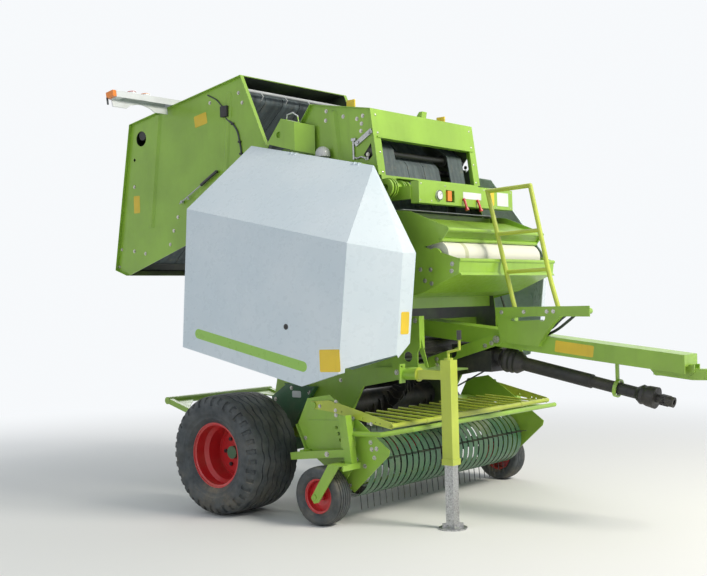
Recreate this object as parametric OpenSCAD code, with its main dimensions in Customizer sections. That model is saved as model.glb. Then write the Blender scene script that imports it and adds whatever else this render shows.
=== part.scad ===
// Round baler with a belt chamber, a raised tailgate and a tined pickup.
// X runs forward to the drawbar, Y to the machine's left, Z up.
// The origin is on the ground under the middle of the main axle.

/* [Chamber] */
// Width across the outer faces of the chamber's side plates
chamber_w = 1240; // [1200:10:1280]
// Thickness of the chamber's side plates
plate_t = 8; // [6:1:10]
// Gap along the seam between the fixed and the moving side plates
seam_gap = 12; // [8:1:16]
// Number of belts side by side
belt_count = 5; // [4:1:5]
// Width of one belt
belt_w = 200; // [170:5:205]
// Thickness of a belt
belt_t = 8; // [6:1:10]
// Radius of the rollers that carry the belts
roller_r = 45; // [38:1:52]
// Radius of the ribbed rollers at the chamber's floor
floor_roller_r = 70; // [60:1:74]
// Width of the flanges folded out along the plates' edges
flange_w = 28; // [20:1:36]

/* [Tailgate] */
// Opening angle of the tailgate, from closed to raised
gate_open = 60; // [50:1:65]
// Radius of the tailgate's hinge pins
hinge_pin_r = 30; // [24:1:36]
// Thickness of the hinge ears
ear_t = 14; // [10:1:16]
// Distance from the centre plane to the ends of the light bar
light_y = 1220; // [1100:10:1260]

/* [Wheels] */
// Diameter of a main tyre
tyre_d = 866; // [840:2:890]
// Width of a main tyre
tyre_w = 491; // [470:1:500]
// Distance between the middles of the main tyres
track_w = 2200; // [2180:5:2260]
// Diameter of the main rim at its flanges
rim_d = 469; // [455:1:480]
// Width of the main rim
rim_w = 406; // [390:1:416]
// Diameter of a gauge tyre
gauge_d = 400; // [380:2:420]
// Width of a gauge tyre
gauge_w = 150; // [130:2:160]

/* [Pickup] */
// Width between the pickup's side panels
pickup_w = 2000; // [1900:10:2040]
// Radius of the tine tips
tine_tip_r = 300; // [280:1:304]
// Distance between neighbouring tines
tine_pitch = 70; // [66:1:80]
// Number of tine bars
tine_bars = 4; // [4:1:6]
// Wire diameter of a tine
tine_d = 6; // [5:0.5:8]
// Number of rods in the wind guard
guard_rods = 15; // [13:2:17]

/* [Hoods] */
// Distance from the centre plane to the outer face of a hood
hood_y = 1220; // [1200:5:1240]
// Wall of a hood
hood_t = 5; // [4:0.5:8]

/* [Drawbar] */
// Width of the drawbar beam
beam_w = 200; // [160:5:220]
// Depth of the drawbar beam
beam_h = 120; // [100:5:140]
// Hole radius of the hitch eye
eye_r = 26; // [20:1:30]
// Width of the jack's outer tube
jack_w = 80; // [70:2:90]
// Radius of the guard rail's tube
rail_r = 16; // [14:0.5:18]

/* [Hidden] */
$fn = 48;

// Paint and material colours
leaf = [0.46, 0.66, 0.10];
lime = [0.72, 0.78, 0.14];
deep = [0.10, 0.30, 0.14];
white = [0.88, 0.90, 0.92];
red = [0.75, 0.07, 0.09];
black = [0.06, 0.06, 0.07];
rubber_grey = [0.30, 0.34, 0.36];
steel = [0.55, 0.56, 0.58];
wrap_white = [0.85, 0.82, 0.70];

// Half widths, running clearances and sheet thickness
side_y = chamber_w / 2;
inner_y = side_y - plate_t;
fit = 0.05;
clear = 0.3;
sheet = 5;

// Hinge of the tailgate, as X and Z
hinge = [117, 2611];

// The tailgate's side as it stands raised: outer corners, then the seam
gate_outer = [[-1929, 1839], [-1696, 3093], [-319, 3318], [-54, 2730]];
gate_seam = [[-119, 2598], [-449, 2189], [-1778, 1787]];

function turn(p, a) = [p[0] * cos(a) - p[1] * sin(a), p[0] * sin(a) + p[1] * cos(a)];
function about(p, c, a) = c + turn(p - c, a);
function shut(p) = about(p, hinge, gate_open);
function shift_x(points, d) = [for (p = points) [p[0] + d, p[1]]];
function reversed(points) = [for (i = [len(points) - 1:-1:0]) points[i]];
function slope(a, b) = atan2(b[1] - a[1], b[0] - a[0]);
function z_on(a, b, x) = a[1] + (x - a[0]) * (b[1] - a[1]) / (b[0] - a[0]);

// Outline of the fixed side plate: its rear edge follows the closed seam
plate_front = [[981, 2885], [1047, 2404], [1150, 1650], [1180, 1400], [1180, 960]];
plate_bottom = [[838, 900], [640, 560], [300, 490], [100, 510]];
plate_top = [[190, 2700], [329, 2892], [408, 2987]];
seam_shut = [for (p = gate_seam) shut(p)];

// Helpers: an X-Z outline as a slab between two Y values, and bars between two points
module xz(y0, y1) {
    translate([0, y1, 0]) rotate([90, 0, 0]) linear_extrude(y1 - y0) children();
}
module slab(points, y0, y1) {
    xz(y0, y1) polygon(points);
}
module both() {
    children();
    mirror([0, 1, 0]) children();
}
module bar_y(p, r, y0, y1) {
    translate([p[0], y0, p[1]]) rotate([-90, 0, 0]) cylinder(h = y1 - y0, r = r);
}
module bar_x(x0, x1, y, z, r) {
    translate([x0, y, z]) rotate([0, 90, 0]) cylinder(h = x1 - x0, r = r);
}
module aim(a, b) {
    d = b - a;
    translate(a) rotate([0, acos(d[2] / norm(d)), atan2(d[1], d[0])]) children();
}
module rod(a, b, r) {
    aim(a, b) cylinder(h = norm(b - a), r = r);
}
module box_bar(a, b, w, h) {
    aim(a, b) translate([-h / 2, -w / 2, 0]) cube([h, w, norm(b - a)]);
}
module ring_y(p, r_out, r_in, y0, y1) {
    difference() {
        bar_y(p, r_out, y0, y1);
        bar_y(p, r_in, y0 - 1, y1 + 1);
    }
}
// A tube bent at each inner point of its route
module bent_tube(points, r) {
    for (i = [0:len(points) - 2]) rod(points[i], points[i + 1], r);
    for (i = [1:1:len(points) - 2]) translate(points[i]) sphere(r = r + 0.5);
}
// A strip of sheet t thick that follows the points, on their left side, with mitred corners
function left_of(a, b) = [a[1] - b[1], b[0] - a[0]] / norm(b - a);
module edge_strip(points, t, y0, y1) {
    last = len(points) - 1;
    n = [for (i = [0:last - 1]) left_of(points[i], points[i + 1])];
    inner = [
        for (i = [0:last])
        let (before = n[max(i - 1, 0)], after = n[min(i, last - 1)])
        points[i] + t * (before + after) / (1 + before * after)
    ];
    xz(y0, y1) polygon(concat(points, reversed(inner)));
}
// A folded rib of sheet, from a to b with a rising X, standing out of the plane at y
module fold_rib(a, b, w, h, y) {
    aim([a[0], y - 1, a[1]], [b[0], y - 1, b[1]]) linear_extrude(norm(b - a))
        polygon([[-w / 2, 0], [w / 2, 0], [w / 4, h + 1], [-w / 4, h + 1]]);
}

// Closed loop round wheels listed counter-clockwise, each with its own radius
function leave_angle(a, b, ra, rb) = slope(a, b) - acos((ra - rb) / norm(b - a));
function loop_points(p, r, steps = 18) = [
    for (i = [0:len(p) - 1])
    let (last = (i + len(p) - 1) % len(p), next = (i + 1) % len(p),
         a0 = leave_angle(p[last], p[i], r[last], r[i]), a1 = leave_angle(p[i], p[next], r[i], r[next]),
         sweep = (a1 - a0 + 720) % 360)
    for (k = [0:steps]) p[i] + r[i] * [cos(a0 + sweep * k / steps), sin(a0 + sweep * k / steps)]
];
function grown(r, d) = [for (v = r) v + d];

// Fixed side plates with the tailgate's hinge pins
module side_outline() {
    polygon(concat(plate_front, plate_bottom, shift_x(reversed(seam_shut), seam_gap / 2), plate_top));
    translate(hinge) circle(r = hinge_pin_r + 45);
}
latch_hole = [[890, 2560], [960, 2640], [985, 2560], [940, 2520]];
sight_hole = [610, 2898];
module chamber_sides() {
    color(leaf) both() {
        difference() {
            xz(inner_y, side_y) side_outline();
            slab(latch_hole, inner_y - 1, side_y + 1);
            bar_y(sight_hole, 18, inner_y - 1, side_y + 1);
            bar_y(rotor_c, rotor_shaft_r + fit, inner_y - 1, side_y + 1);
        }
        ring_y(rotor_c, rotor_shaft_r + 28, rotor_shaft_r + fit, side_y - 1, side_y + 12);
        // Flanges along the top, the front and the bottom edges
        edge_strip(concat([plate_front[1], plate_front[0]], reversed(plate_top)), sheet, side_y - 1, side_y + flange_w);
        edge_strip(reversed(plate_bottom), sheet, side_y - 1, side_y + flange_w - 14);
        // Folded pillars that carry the load of the hinge down to the frame
        fold_rib([612, 2905], [724, 2000], 84, 24, side_y);
        bar_y(hinge, hinge_pin_r, side_y - 1, side_y + ear_t + 10);
        bar_y(hinge, hinge_pin_r + 12, side_y + ear_t + 2, side_y + ear_t + 10);
        bar_y(lift_pivot, lift_pin_r, side_y - 1, side_y + 40);
        bar_y(cyl_base, cyl_pin_r, side_y - 1, cyl_y + 40);
        bar_y(cyl_base, cyl_pin_r + 12, side_y - 1, cyl_y - 27);
        for (p = hood_hinges) {
            hood_axis(p, -hood_pin_l) cylinder(h = 2 * hood_pin_l, r = hood_pin_r);
            translate([p[0] - 4, side_y - 1, p[1] - 34]) cube([8, hood_hinge_y - side_y + 1, 46]);
        }
    }
}

// Front panel above the belt window, with posts, sill and a lifting lug
panel_top = plate_front[0];
panel_dir = (plate_front[1] - panel_top) / norm(plate_front[1] - panel_top);
panel_h = 212;
window_h = 272;
sill_h = 36;
panel_d = 60;
function down_panel(d) = panel_top + panel_dir * d;
module on_panel(d0, d1, depth, y0, y1) {
    slab([down_panel(d0), down_panel(d1), down_panel(d1) + [-depth, 0], down_panel(d0) + [-depth, 0]], y0, y1);
}
module front_panel() {
    edge = inner_y - clear;
    color(leaf) {
        difference() {
            on_panel(0, panel_h, panel_d, -edge, edge);
            on_panel(sheet, panel_h + 1, panel_d + 10, -edge - 1, edge + 1);
        }
        on_panel(0, panel_h, sheet, -edge, edge);
        on_panel(panel_h - sheet, panel_h, panel_d, -edge, edge);
        // Lip under the panel and the posts of the window
        translate([down_panel(panel_h)[0] - 2, -edge, down_panel(panel_h)[1]]) cube([10, 2 * edge, 12]);
        both() on_panel(panel_h - 1, panel_h + window_h + 1, 12, inner_y - 45, edge);
        both() on_panel(panel_h - 1, panel_h + window_h + 1, panel_d, edge - sheet, edge);
        on_panel(panel_h + window_h, panel_h + window_h + sill_h, sheet, -edge, edge);
        on_panel(panel_h + window_h, panel_h + window_h + sheet, panel_d, -edge, edge);
        // Roof sheet back to the hinge end of the plates
        slab([plate_top[2] + [-13, -3], panel_top, panel_top + [0, -sheet], plate_top[2] + [-13, -3 - sheet]], -edge, edge);
        slab([down_panel(0) + [-50, 8], down_panel(0) + [-20, 44], down_panel(0) + [10, 44], down_panel(0) + [0, 0]], -30, 30);
    }
}

// Rollers of the fixed part: three that carry belts, then the ribbed ones of the floor
top_roll = [500, 2890];
outer_idler = [876, 2600];
inner_idler = [838, 2505];
drive_roll = [1040, 1640];
floor_roll = [[1045, 1160], [800, 985], [240, 860], [40, 710]];
rib_count = 10;
idler_r = 22;
module front_rollers() {
    edge = inner_y - clear;
    color(black) {
        for (p = [top_roll, drive_roll]) bar_y(p, roller_r, -edge, edge);
        // Idlers: each is thick only under the belts that run over it
        bar_y(outer_idler, idler_r, -edge, edge);
        bar_y(outer_idler, roller_r, -edge, belt_y(0) + belt_w / 2 + 1);
        bar_y(outer_idler, roller_r, belt_y(belt_count - 1) - belt_w / 2 - 1, edge);
        bar_y(inner_idler, idler_r, -edge, edge);
        bar_y(inner_idler, roller_r, belt_y(1) - belt_w / 2 - 1, belt_y(belt_count - 2) + belt_w / 2 + 1);
        for (p = floor_roll) xz(-edge, edge) {
            translate(p) circle(r = floor_roller_r - 8);
            translate(p) for (k = [0:rib_count / 2 - 1]) rotate(k * 360 / rib_count)
                square([2 * floor_roller_r, 12], center = true);
        }
    }
}

// Belts: the outer two run over the outer idler, the middle ones over the inner idler
belt_gap = 6;
belt_margin = 42;
belt_play = 2 * (inner_y - belt_margin) - belt_count * belt_w - (belt_count - 1) * belt_gap;
function belt_y(i) = -inner_y + belt_margin + belt_play / 2 + (i + 0.5) * belt_w + i * belt_gap
                     + (i == belt_count - 1 ? belt_play / 2 : 0);
module belt(i, points) {
    r = [for (p = points) roller_r + clear];
    xz(belt_y(i) - belt_w / 2, belt_y(i) + belt_w / 2) difference() {
        polygon(loop_points(points, grown(r, belt_t)));
        polygon(loop_points(points, r));
    }
}
module front_belts() {
    color(rubber_grey) for (i = [0:belt_count - 1]) {
        outer = i == 0 || i == belt_count - 1;
        belt(i, [drive_roll, outer ? outer_idler : inner_idler, top_roll]);
    }
}

// Control panel across the front under the window
panel_x = 1358;
panel_z = [2185, 2337];
panel_y0 = -side_y + 20;
panel_depth = 70;
dial = [-371, 2247];
lamp_box = [-276, -168, 2206, 2290];
module lamp_recess(x, depth, wall) {
    translate([x, lamp_box[0] - wall, lamp_box[2] - wall])
        cube([depth, lamp_box[1] - lamp_box[0] + 2 * wall, lamp_box[3] - lamp_box[2] + 2 * wall]);
}
drum_c = [1150, 2296];
drum_y = [480, 712];
drum_ribs = [[694, 712, 66], [672, 682, 71], [648, 658, 71], [556, 566, 62], [534, 544, 62], [480, 500, 58]];
module control_panel() {
    w = side_y - panel_y0;
    h = panel_z[1] - panel_z[0];
    color(leaf) {
        difference() {
            translate([panel_x - panel_depth, panel_y0, panel_z[0]]) cube([panel_depth, w, h]);
            translate([panel_x - panel_depth - 1, panel_y0 + sheet, panel_z[0] + sheet])
                cube([panel_depth - sheet + 1, w - 2 * sheet, h - 2 * sheet]);
            lamp_recess(panel_x - 20, 30, 0);
        }
        difference() {
            lamp_recess(panel_x - 36, 34, 4);
            lamp_recess(panel_x - 32, 40, 0);
        }
        // Ribbed drum beside the panel, on the right arm
        difference() {
            union() {
                bar_y(drum_c, 44, -drum_y[1], -drum_y[0]);
                for (y = drum_ribs) bar_y(drum_c, y[2], -y[1], -y[0]);
            }
            bar_y(drum_c, 26, -drum_y[1] - 1, -drum_y[1] + 40);
        }
        // Arms back to the side plates and the sloped cover over them
        both() translate([1010, side_y - 60, 2215]) cube([panel_x - 1010 - panel_depth + sheet, 52, 90]);
        slab([[1052, 2392], [panel_x - 2, panel_z[1]], [panel_x - 2, panel_z[1] - sheet], [1052, 2392 - sheet]],
             panel_y0 + 150, side_y - 10);
    }
    // Round dial, the lamp in its recess, two levers and blank plates
    color(steel) {
        bar_x(panel_x - 1, panel_x + 14, dial[0], dial[1], 34);
        for (p = [[-60, 178, 2240, 2290], [398, 556, 2210, 2312]])
            translate([panel_x - 1, p[0], p[2]]) cube([3, p[1] - p[0], p[3] - p[2]]);
    }
    color([0.9, 0.45, 0.1]) translate([panel_x - 33, lamp_box[0] + 6, lamp_box[2] + 6]) cube([46, 48, 72]);
    color(red) for (y = [-64, 118]) {
        bar_x(panel_x - 1, panel_x + 16, y, 2233, 9);
        rod([panel_x + 12, y, 2236], [panel_x + 34, y, 2168], 9);
        rod([panel_x + 34, y, 2168], [panel_x + 39, y, 2152], 14);
    }
}

// Net tray with its side plates and the cover over the net roll
net_c = [1498, 1812];
net_r = 100;
net_pin_r = 18;
net_side = side_y + 8;
net_hub_y = side_y - 14;
tray_lip = [1695, 1771];
cover_tubes = [[1607, 1983], [1550, 1917]];
tube_r = 14;
module net_box() {
    color(leaf) {
        both() {
            slab([[1090, 1930], [1290, 1930], [1403, 1875], [1702, 1780], [1690, 1680], [1385, 1558], [1120, 1500]],
                 side_y, net_side);
            slab([[1100, 2150], [1290, 2130], [1612, 2000], [1625, 1985], [1550, 1900], [1400, 1872], [1100, 1929]],
                 side_y, net_side);
            bar_y(net_c, net_pin_r, net_hub_y - 50, net_side);
            bar_y(net_c, 50, net_hub_y + 2, net_side);
        }
        // Tray sheet under the roll, with a folded lip along its front
        slab([[1702, 1778], [1690, 1680], [1385, 1558], [1176, 1528], [1176, 1536], [1383, 1566], [1682, 1686], [1694, 1778]],
             -side_y - 1, side_y + 1);
        slab([[1690, 1680], [1704, 1668], [1708, 1672], [1694, 1690]], -side_y - 1, side_y + 1);
        // Cover: two tubes with a stepped sheet between them and back to the frame
        slab([[1607, 1996], [1598, 1997], [1535, 1925], [1545, 1918]], -side_y - 1, side_y + 1);
        slab([[1607, 1990], [1290, 2085], [1290, 2079], [1605, 1984]], -side_y - 1, side_y + 1);
        for (p = concat([tray_lip], cover_tubes)) ring_y(p, tube_r, tube_r - 5, -net_side - 4, net_side + 4);
        // Green cross bar above the cover and its end brackets
        translate([1118, -side_y, 2071]) cube([30, 2 * side_y, 67]);
    }
}
module net_guides() {
    color(steel) {
        bar_y([1193, 2040], 23, -side_y + clear, side_y - clear);
        translate([1160, -side_y + 12, 2144]) cube([60, 2 * side_y - 24, sheet]);
        both() translate([1118, side_y - 52, 2138]) cube([60, 40, 10]);
    }
}
module net_roll() {
    color(wrap_white) difference() {
        bar_y(net_c, net_r, -net_hub_y, net_hub_y);
        bar_y(net_c, net_pin_r + fit, -side_y, side_y);
        both() difference() {
            bar_y(net_c, net_r - 14, net_hub_y - 12, side_y);
            bar_y(net_c, 42, 0, side_y + 1);
        }
    }
}

// Front frame: corner posts, cross members, the jack's bracket and the wall under the net tray
module front_frame() {
    edge = inner_y - clear;
    color(leaf) {
        both() {
            // Folded corner post: a web along the side and a flange across its front
            difference() {
                slab([[1120, 1400], [1365, 1400], [1365, 1180], [1345, 1150], [1345, 980], [1120, 970]],
                     side_y + 20, side_y + 28);
                bar_y(cross_c, cross_r + 6, side_y, side_y + 40);
            }
            translate([1120, side_y, 970]) cube([60, 24, 430]);
            translate([1340, side_y - 30, 1180]) cube([25, 58, 220]);
            slab([[1365, 1250], [1420, 1050], [1400, 1044], [1340, 1180]], side_y + 4, side_y + 10);
            translate([1130, side_y, 974]) cube([215, 28, 8]);
            translate([1182, side_y - 30, 974]) cube([163, 31, 8]);
            slab([[960, 1040], [1345, 1060], [1345, 982], [960, 970]], side_y, side_y + 20);
        }
        translate([900, -edge, 1245]) cube([100, 2 * edge, 119]);
        translate([960, -edge, 960]) cube([80, 2 * edge, 80]);
        // Wall under the net tray
        translate([1100, -edge, 1450]) cube([30, 2 * edge, 110]);
        difference() {
            union() {
                translate([1300, jack_y, 970]) cube([45, -side_y - 10 - jack_y, 80]);
                bar_x(1300, 1430, jack_y, jack_z, 38);
            }
            bar_x(1340, 1440, jack_y, jack_z, spigot_r + fit);
        }
        difference() {
            translate([1310, jack_y - 60, 950]) cube([10, 60, 130]);
            bar_x(1300, 1330, jack_y - 38, 1062, 9);
        }
    }
}

// Main axle: beam, uprights to the side plates and stub axles with their caps
axle_z = tyre_d / 2;
stub_r = 35;
disc_out = 8;
disc_t = 12;
hub_l = 37;
ramp_y = 600;
module axle() {
    beam_end = side_y + 170;
    color(deep) {
        difference() {
            translate([-50, -beam_end, axle_z - 50]) cube([100, 2 * beam_end, 100]);
            translate([-42, -beam_end - 1, axle_z - 42]) cube([84, 2 * beam_end + 2, 84]);
        }
        both() {
            slab([[-60, axle_z + 49], [60, axle_z + 49], [214, 628], [414, 887], [110, 908], [-60, 800]],
                 side_y + 15, side_y + 25);
            slab([[110, 908], [414, 887], [410, 879], [110, 900]], side_y + 15, side_y + 60);
            slab([[214, 628], [414, 887], [406, 891], [206, 632]], side_y + 15, side_y + 60);
            translate([-60, side_y + 14, axle_z + 49]) cube([120, 120, 10]);
            slab([[-40, axle_z + 58], [40, axle_z + 58], [40, 700], [0, 760], [-40, 700]], side_y, side_y + 16);
            // End plate, stub, and the cap that holds the wheel on
            translate([-62, beam_end - 1, axle_z - 62]) cube([124, 14, 124]);
            bar_y([0, axle_z], 60, beam_end + 12, track_w / 2 - disc_out - hub_l - 5);
            bar_y([0, axle_z], stub_r, beam_end + 5, track_w / 2 + 40);
            bar_y([0, axle_z], 46, track_w / 2 - disc_out + 3, track_w / 2 + 42);
            slab([[-49, 480], [-49, 400], ramp_pivot + [-10, -25], ramp_pivot + [-25, 0], ramp_pivot + [-10, 25]],
                 ramp_y + 24, ramp_y + 34);
            bar_y(ramp_pivot, ramp_pin_r, ramp_y - 30, ramp_y + 34);
        }
    }
}

// Drawbar: beam, lower braces, hose bracket and hitch eye
beam_a = [1000.5, 1304];
beam_b = [3020, 1062];
eye_c = [3330, 1000];
brace_bolt = [1646, 1218];
hose_top = 1444;
hose_y1 = -beam_w / 2 + 1;
hose_y0 = hose_y1 - 51;
hanger_x = 2500;
function beam_z(x) = z_on(beam_a, beam_b, x);
module drawbar() {
    h2 = beam_h / 2;
    color(leaf) {
        difference() {
            slab([beam_a + [0, -h2], beam_b + [0, -h2], beam_b + [0, h2], beam_a + [0, h2]], -beam_w / 2, beam_w / 2);
            translate([beam_b[0] - 260, -beam_w / 2 + 8, beam_b[1] - 100]) cube([270, beam_w - 16, 86]);
        }
        // Tongue with the hitch eye, and the gussets that hold it
        difference() {
            union() {
                slab([[2780, 1040], [3040, 1030], [3330, 1035], [3330, 965], [3040, 960], [2780, 990]], -35, 35);
                translate([eye_c[0], 0, eye_c[1] - 35]) cylinder(h = 70, r = eye_r + 30);
            }
            translate([eye_c[0], 0, eye_c[1] - 60]) cylinder(h = 120, r = eye_r);
        }
        both() slab([[2760, 1030], [3060, 1060], [3060, 1010], [3020, 985], [2800, 985]], 34, 46);
        // Braces from the lower cross member, each with a rounded end and its bolts
        both() {
            difference() {
                union() {
                    slab([[1041, 1000], [1660, 1178], [1634, 1258], [1041, 1082]], beam_w / 2, beam_w / 2 + 10);
                    bar_y(brace_bolt, 42, beam_w / 2, beam_w / 2 + 10);
                }
                for (p = [[1600, 1192], [1545, 1172]]) bar_y(p, 11, beam_w / 2 - 1, beam_w / 2 + 12);
                bar_y(cross_c, cross_r + 8, beam_w / 2 - 1, beam_w / 2 + 12);
            }
            bar_y(brace_bolt, 20, beam_w / 2 + 9, beam_w / 2 + 20);
        }
        hose_bracket();
        // Hanger with the ring that the drive shaft runs through
        shaft_point = [hanger_x, 0, shaft_z(hanger_x)];
        aim(shaft_point, [shaft_b[0], 0, shaft_b[1]]) difference() {
            cylinder(h = 24, r = guard_r + 14);
            translate([0, 0, -1]) cylinder(h = 26, r = guard_r + 4);
        }
        translate([hanger_x, -10, shaft_point[2] + guard_r + 6])
            cube([20, 20, beam_z(hanger_x) - h2 - shaft_point[2] - guard_r - 1]);
    }
}
// Hose bracket: a folded plate on the beam with a keyhole slot, and the hose holder on it
module hose_bracket() {
    difference() {
        slab([[1670, hose_top], [2180, hose_top], [2172, 1372], [2112, 1322], [2051, 1250], [2000, 1170], [1700, 1200],
              [1684, 1300]], hose_y0, hose_y1);
        bar_y([2035, 1369], 26, hose_y0 - 1, hose_y1 + 1);
        slab([[1800, 1347], [1800, 1369], [2035, 1384], [2035, 1354]], hose_y0 - 1, hose_y1 + 1);
        bar_y([1800, 1358], 11, hose_y0 - 1, hose_y1 + 1);
    }
    slab([[1670, hose_top], [2400, hose_top], [2400, 1372], [1670, 1382]], hose_y0 - 6, hose_y0 + 1);
    for (x = [2240, 2300, 2360]) bar_y([x, 1408], 20, hose_y0, hose_y0 + 80);
}

// Guard rail that stands on the hose bracket: a tube frame with two cross bars
rail_y = -126;
rail_near = [[1612, 2268], [1750, 1690], [1773, 1590], [1817, hose_top - 29]];
rail_far = [[1960, 2280], [2084, 1690], [2108, 1590], [2158, hose_top - 29]];
rail_rungs = [1960, 1690];
function on_rail(leg, z) = leg[0][0] + (leg[1][0] - leg[0][0]) * (z - leg[0][1]) / (leg[1][1] - leg[0][1]);
function rail_point(p) = [p[0], rail_y, p[1]];
module guard_rail() {
    color(lime) difference() {
        union() {
            bent_tube([for (p = concat(reversed(rail_near), rail_far)) rail_point(p)], rail_r);
            for (z = rail_rungs) rod([on_rail(rail_near, z), rail_y, z], [on_rail(rail_far, z), rail_y, z + 8], rail_r - 2);
        }
        translate([1500, rail_y - 50, hose_top - 60]) cube([800, 100, 60]);
    }
}

// Gearbox with its cross shaft, and the drive shaft in its guard
shaft_a = [1640, 1075];
shaft_b = [2900, 810];
cross_c = [1262, 1120];
cross_r = 30;
guard_r = 48;
function shaft_z(x) = z_on(shaft_a, shaft_b, x);
module gearbox() {
    color(black) {
        translate([1385, -95, 985]) cube([200, 190, 150]);
        translate([1230, -70, 1010]) cube([156, 140, 170]);
        for (y = [-95, 83]) bar_y([1485, 1060], 70, y, y + 12);
        slab([[1400, 1134], [1520, 1134], [1520, beam_z(1520) - beam_h / 2 - fit], [1400, beam_z(1400) - beam_h / 2 - fit]],
             -40, 40);
        aim([1500, 0, shaft_z(1500)], [shaft_a[0], 0, shaft_a[1]]) {
            cylinder(h = 125, r = 62);
            cylinder(h = 143, r = 22);
        }
        // Cross shaft to the chain drive, in its tube
        bar_y(cross_c, cross_r, 60, chain_y + 2 * chain_t + 8);
        bar_y(cross_c, cross_r + 16, 60, beam_w / 2 - 2);
    }
}
shaft_l = norm(shaft_b - shaft_a);
module pto_shaft() {
    color(black) aim([shaft_a[0], 0, shaft_a[1]], [shaft_b[0], 0, shaft_b[1]]) difference() {
        union() {
            // Guard cones with ribs at both ends, over a telescoping tube
            rotate_extrude() polygon([[0, 20], [86, 20], [90, 40], [82, 60], [86, 80], [76, 100], [80, 120], [guard_r, 170],
                [guard_r, 700], [guard_r - 8, 706], [guard_r - 8, shaft_l - 260], [66, shaft_l - 220],
                [62, shaft_l - 200], [68, shaft_l - 180], [72, shaft_l - 120], [0, shaft_l - 120]]);
            translate([0, 0, clear]) cylinder(h = 40, r = 30);
            translate([0, 0, shaft_l - 130]) cylinder(h = 60, r = 26);
            for (s = [-1, 1]) translate([s * 26 - 8, -22, shaft_l - 90]) cube([16, 44, 60]);
            translate([0, 0, shaft_l - 50]) cylinder(h = 50, r = 34);
        }
        translate([0, 0, shaft_l - 42]) cylinder(h = 50, r = pto_bore_r);
    }
}
pto_bore_r = 17.5;

// Oil box with its wire handle, and the domed valve cap beside it, on the right side plate
dome_x = 552;
module oil_box() {
    top = -side_y - 118;
    color(leaf) {
        difference() {
            slab([[44, 2722], [196, 2896], [490, 2812], [470, 2606], [330, 2642]], top, -side_y - flange_w);
            translate([330, top, 2500]) rotate([0, 0, slope([330, top], [490, -side_y])]) translate([0, -300, 0])
                cube([400, 300, 500]);
            bar_y([168, 2778], 24, top - 1, top + 20);
        }
    }
    color(steel) {
        bent_tube([[215, top + 40, 2885], [225, top + 40, 2925], [280, top + 40, 2935], [330, top + 40, 2905],
                   [340, top + 40, 2850]], 5);
        translate([dome_x, -side_y - 58, 2578]) cylinder(h = 22, r = 55);
        translate([dome_x, -side_y - 58, 2599]) intersection() {
            sphere(r = 55);
            cylinder(h = 60, r = 60);
        }
        translate([dome_x - 12, -side_y - 60, 2560]) cube([24, 60, 20]);
    }
}
module latches() {
    color(steel) both() {
        box_bar([824, side_y + 7, 2640], [978, side_y + 7, 2728], 14, 34);
        bar_y([850, 2655], 11, side_y + 14, side_y + 24);
        bar_y([955, 2715], 11, side_y + 14, side_y + 24);
        rod([806, side_y + 10, 2534], [806, side_y + 10, 2676], 8);
        translate([792, side_y, 2668]) cube([40, 20, 20]);
        bent_tube([[806, side_y + 10, 2552], [840, side_y + 10, 2540], [880, side_y + 10, 2548], [925, side_y + 10, 2530]], 7);
        translate([915, side_y, 2520]) cube([20, 12, 20]);
    }
}

// Chain drives: toothed wheels with their chains, on the left side of the chamber
rotor_c = [490, 740];
rotor_shaft_r = 30;
teeth = 20;
chain_y = side_y + 34;
chain_t = 14;
wheel_sets = [[cross_c, drive_roll, 62, 118, 0], [rotor_c, cross_c, 52, 62, 1]];
module toothed(p, r, y) {
    xz(y, y + chain_t) difference() {
        union() {
            translate(p) circle(r = r - 6);
            translate(p) for (k = [0:teeth / 2 - 1]) rotate(k * 360 / teeth) square([2 * r, r * 3 / teeth], center = true);
        }
        translate(p) circle(r = rotor_shaft_r + clear);
    }
}
module drive() {
    // Bearing housings between the side plate and the wheels
    color(steel) difference() {
        union() {
            bar_y(drive_roll, 52, side_y, chain_y + 1);
            bar_y(rotor_c, 52, side_y + 12, chain_y + chain_t + 7);
        }
        for (p = [drive_roll, rotor_c]) bar_y(p, rotor_shaft_r + clear, side_y - 1, chain_y + chain_t + 8);
    }
    color(steel) bar_y(rotor_c, 42, chain_y + 2 * chain_t + 5, chain_y + 2 * chain_t + 16);
    color(steel) bar_y(drive_roll, 42, chain_y + chain_t - 1, chain_y + chain_t + 5);
    color(steel) for (s = wheel_sets) {
        y = chain_y + s[4] * (chain_t + 6);
        toothed(s[0], s[2], y);
        toothed(s[1], s[3], y);
        xz(y + 1, y + chain_t - 1) difference() {
            polygon(loop_points([s[0], s[1]], [s[2] + 10, s[3] + 10]));
            polygon(loop_points([s[0], s[1]], [s[2] + 0.5, s[3] + 0.5]));
        }
    }
}

// Wheels: ribbed tyres on dished rims
module tyre(d, w, rim_r, rim_w2, grooves, groove_d) {
    r = d / 2;
    wall = r - rim_r;
    flat = 0.68 * w;
    pitch = flat / (grooves + 1);
    outer = concat(
        [[rim_r, -rim_w2 / 2], [rim_r + 0.22 * wall, -w * 0.47], [rim_r + 0.5 * wall, -w / 2], [r - 0.16 * wall, -w * 0.47],
         [r - 6, -flat / 2 - 4]],
        [for (i = [0:grooves - 1]) let (z = -flat / 2 + pitch * (i + 1))
            for (q = [[r, z - pitch * 0.18], [r - groove_d, z - pitch * 0.1], [r - groove_d, z + pitch * 0.1], [r, z + pitch * 0.18]]) q],
        [[r - 6, flat / 2 + 4], [r - 0.16 * wall, w * 0.47], [rim_r + 0.5 * wall, w / 2], [rim_r + 0.22 * wall, w * 0.47],
         [rim_r, rim_w2 / 2]]);
    rotate([90, 0, 0]) rotate_extrude() polygon(outer);
}
module main_tyre(side) {
    color(black) translate([0, side * track_w / 2, axle_z]) tyre(tyre_d, tyre_w, rim_d / 2, rim_w, 4, 11, $fn = 40);
}
nut_circle = 105;
nut_count = 6;
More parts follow.
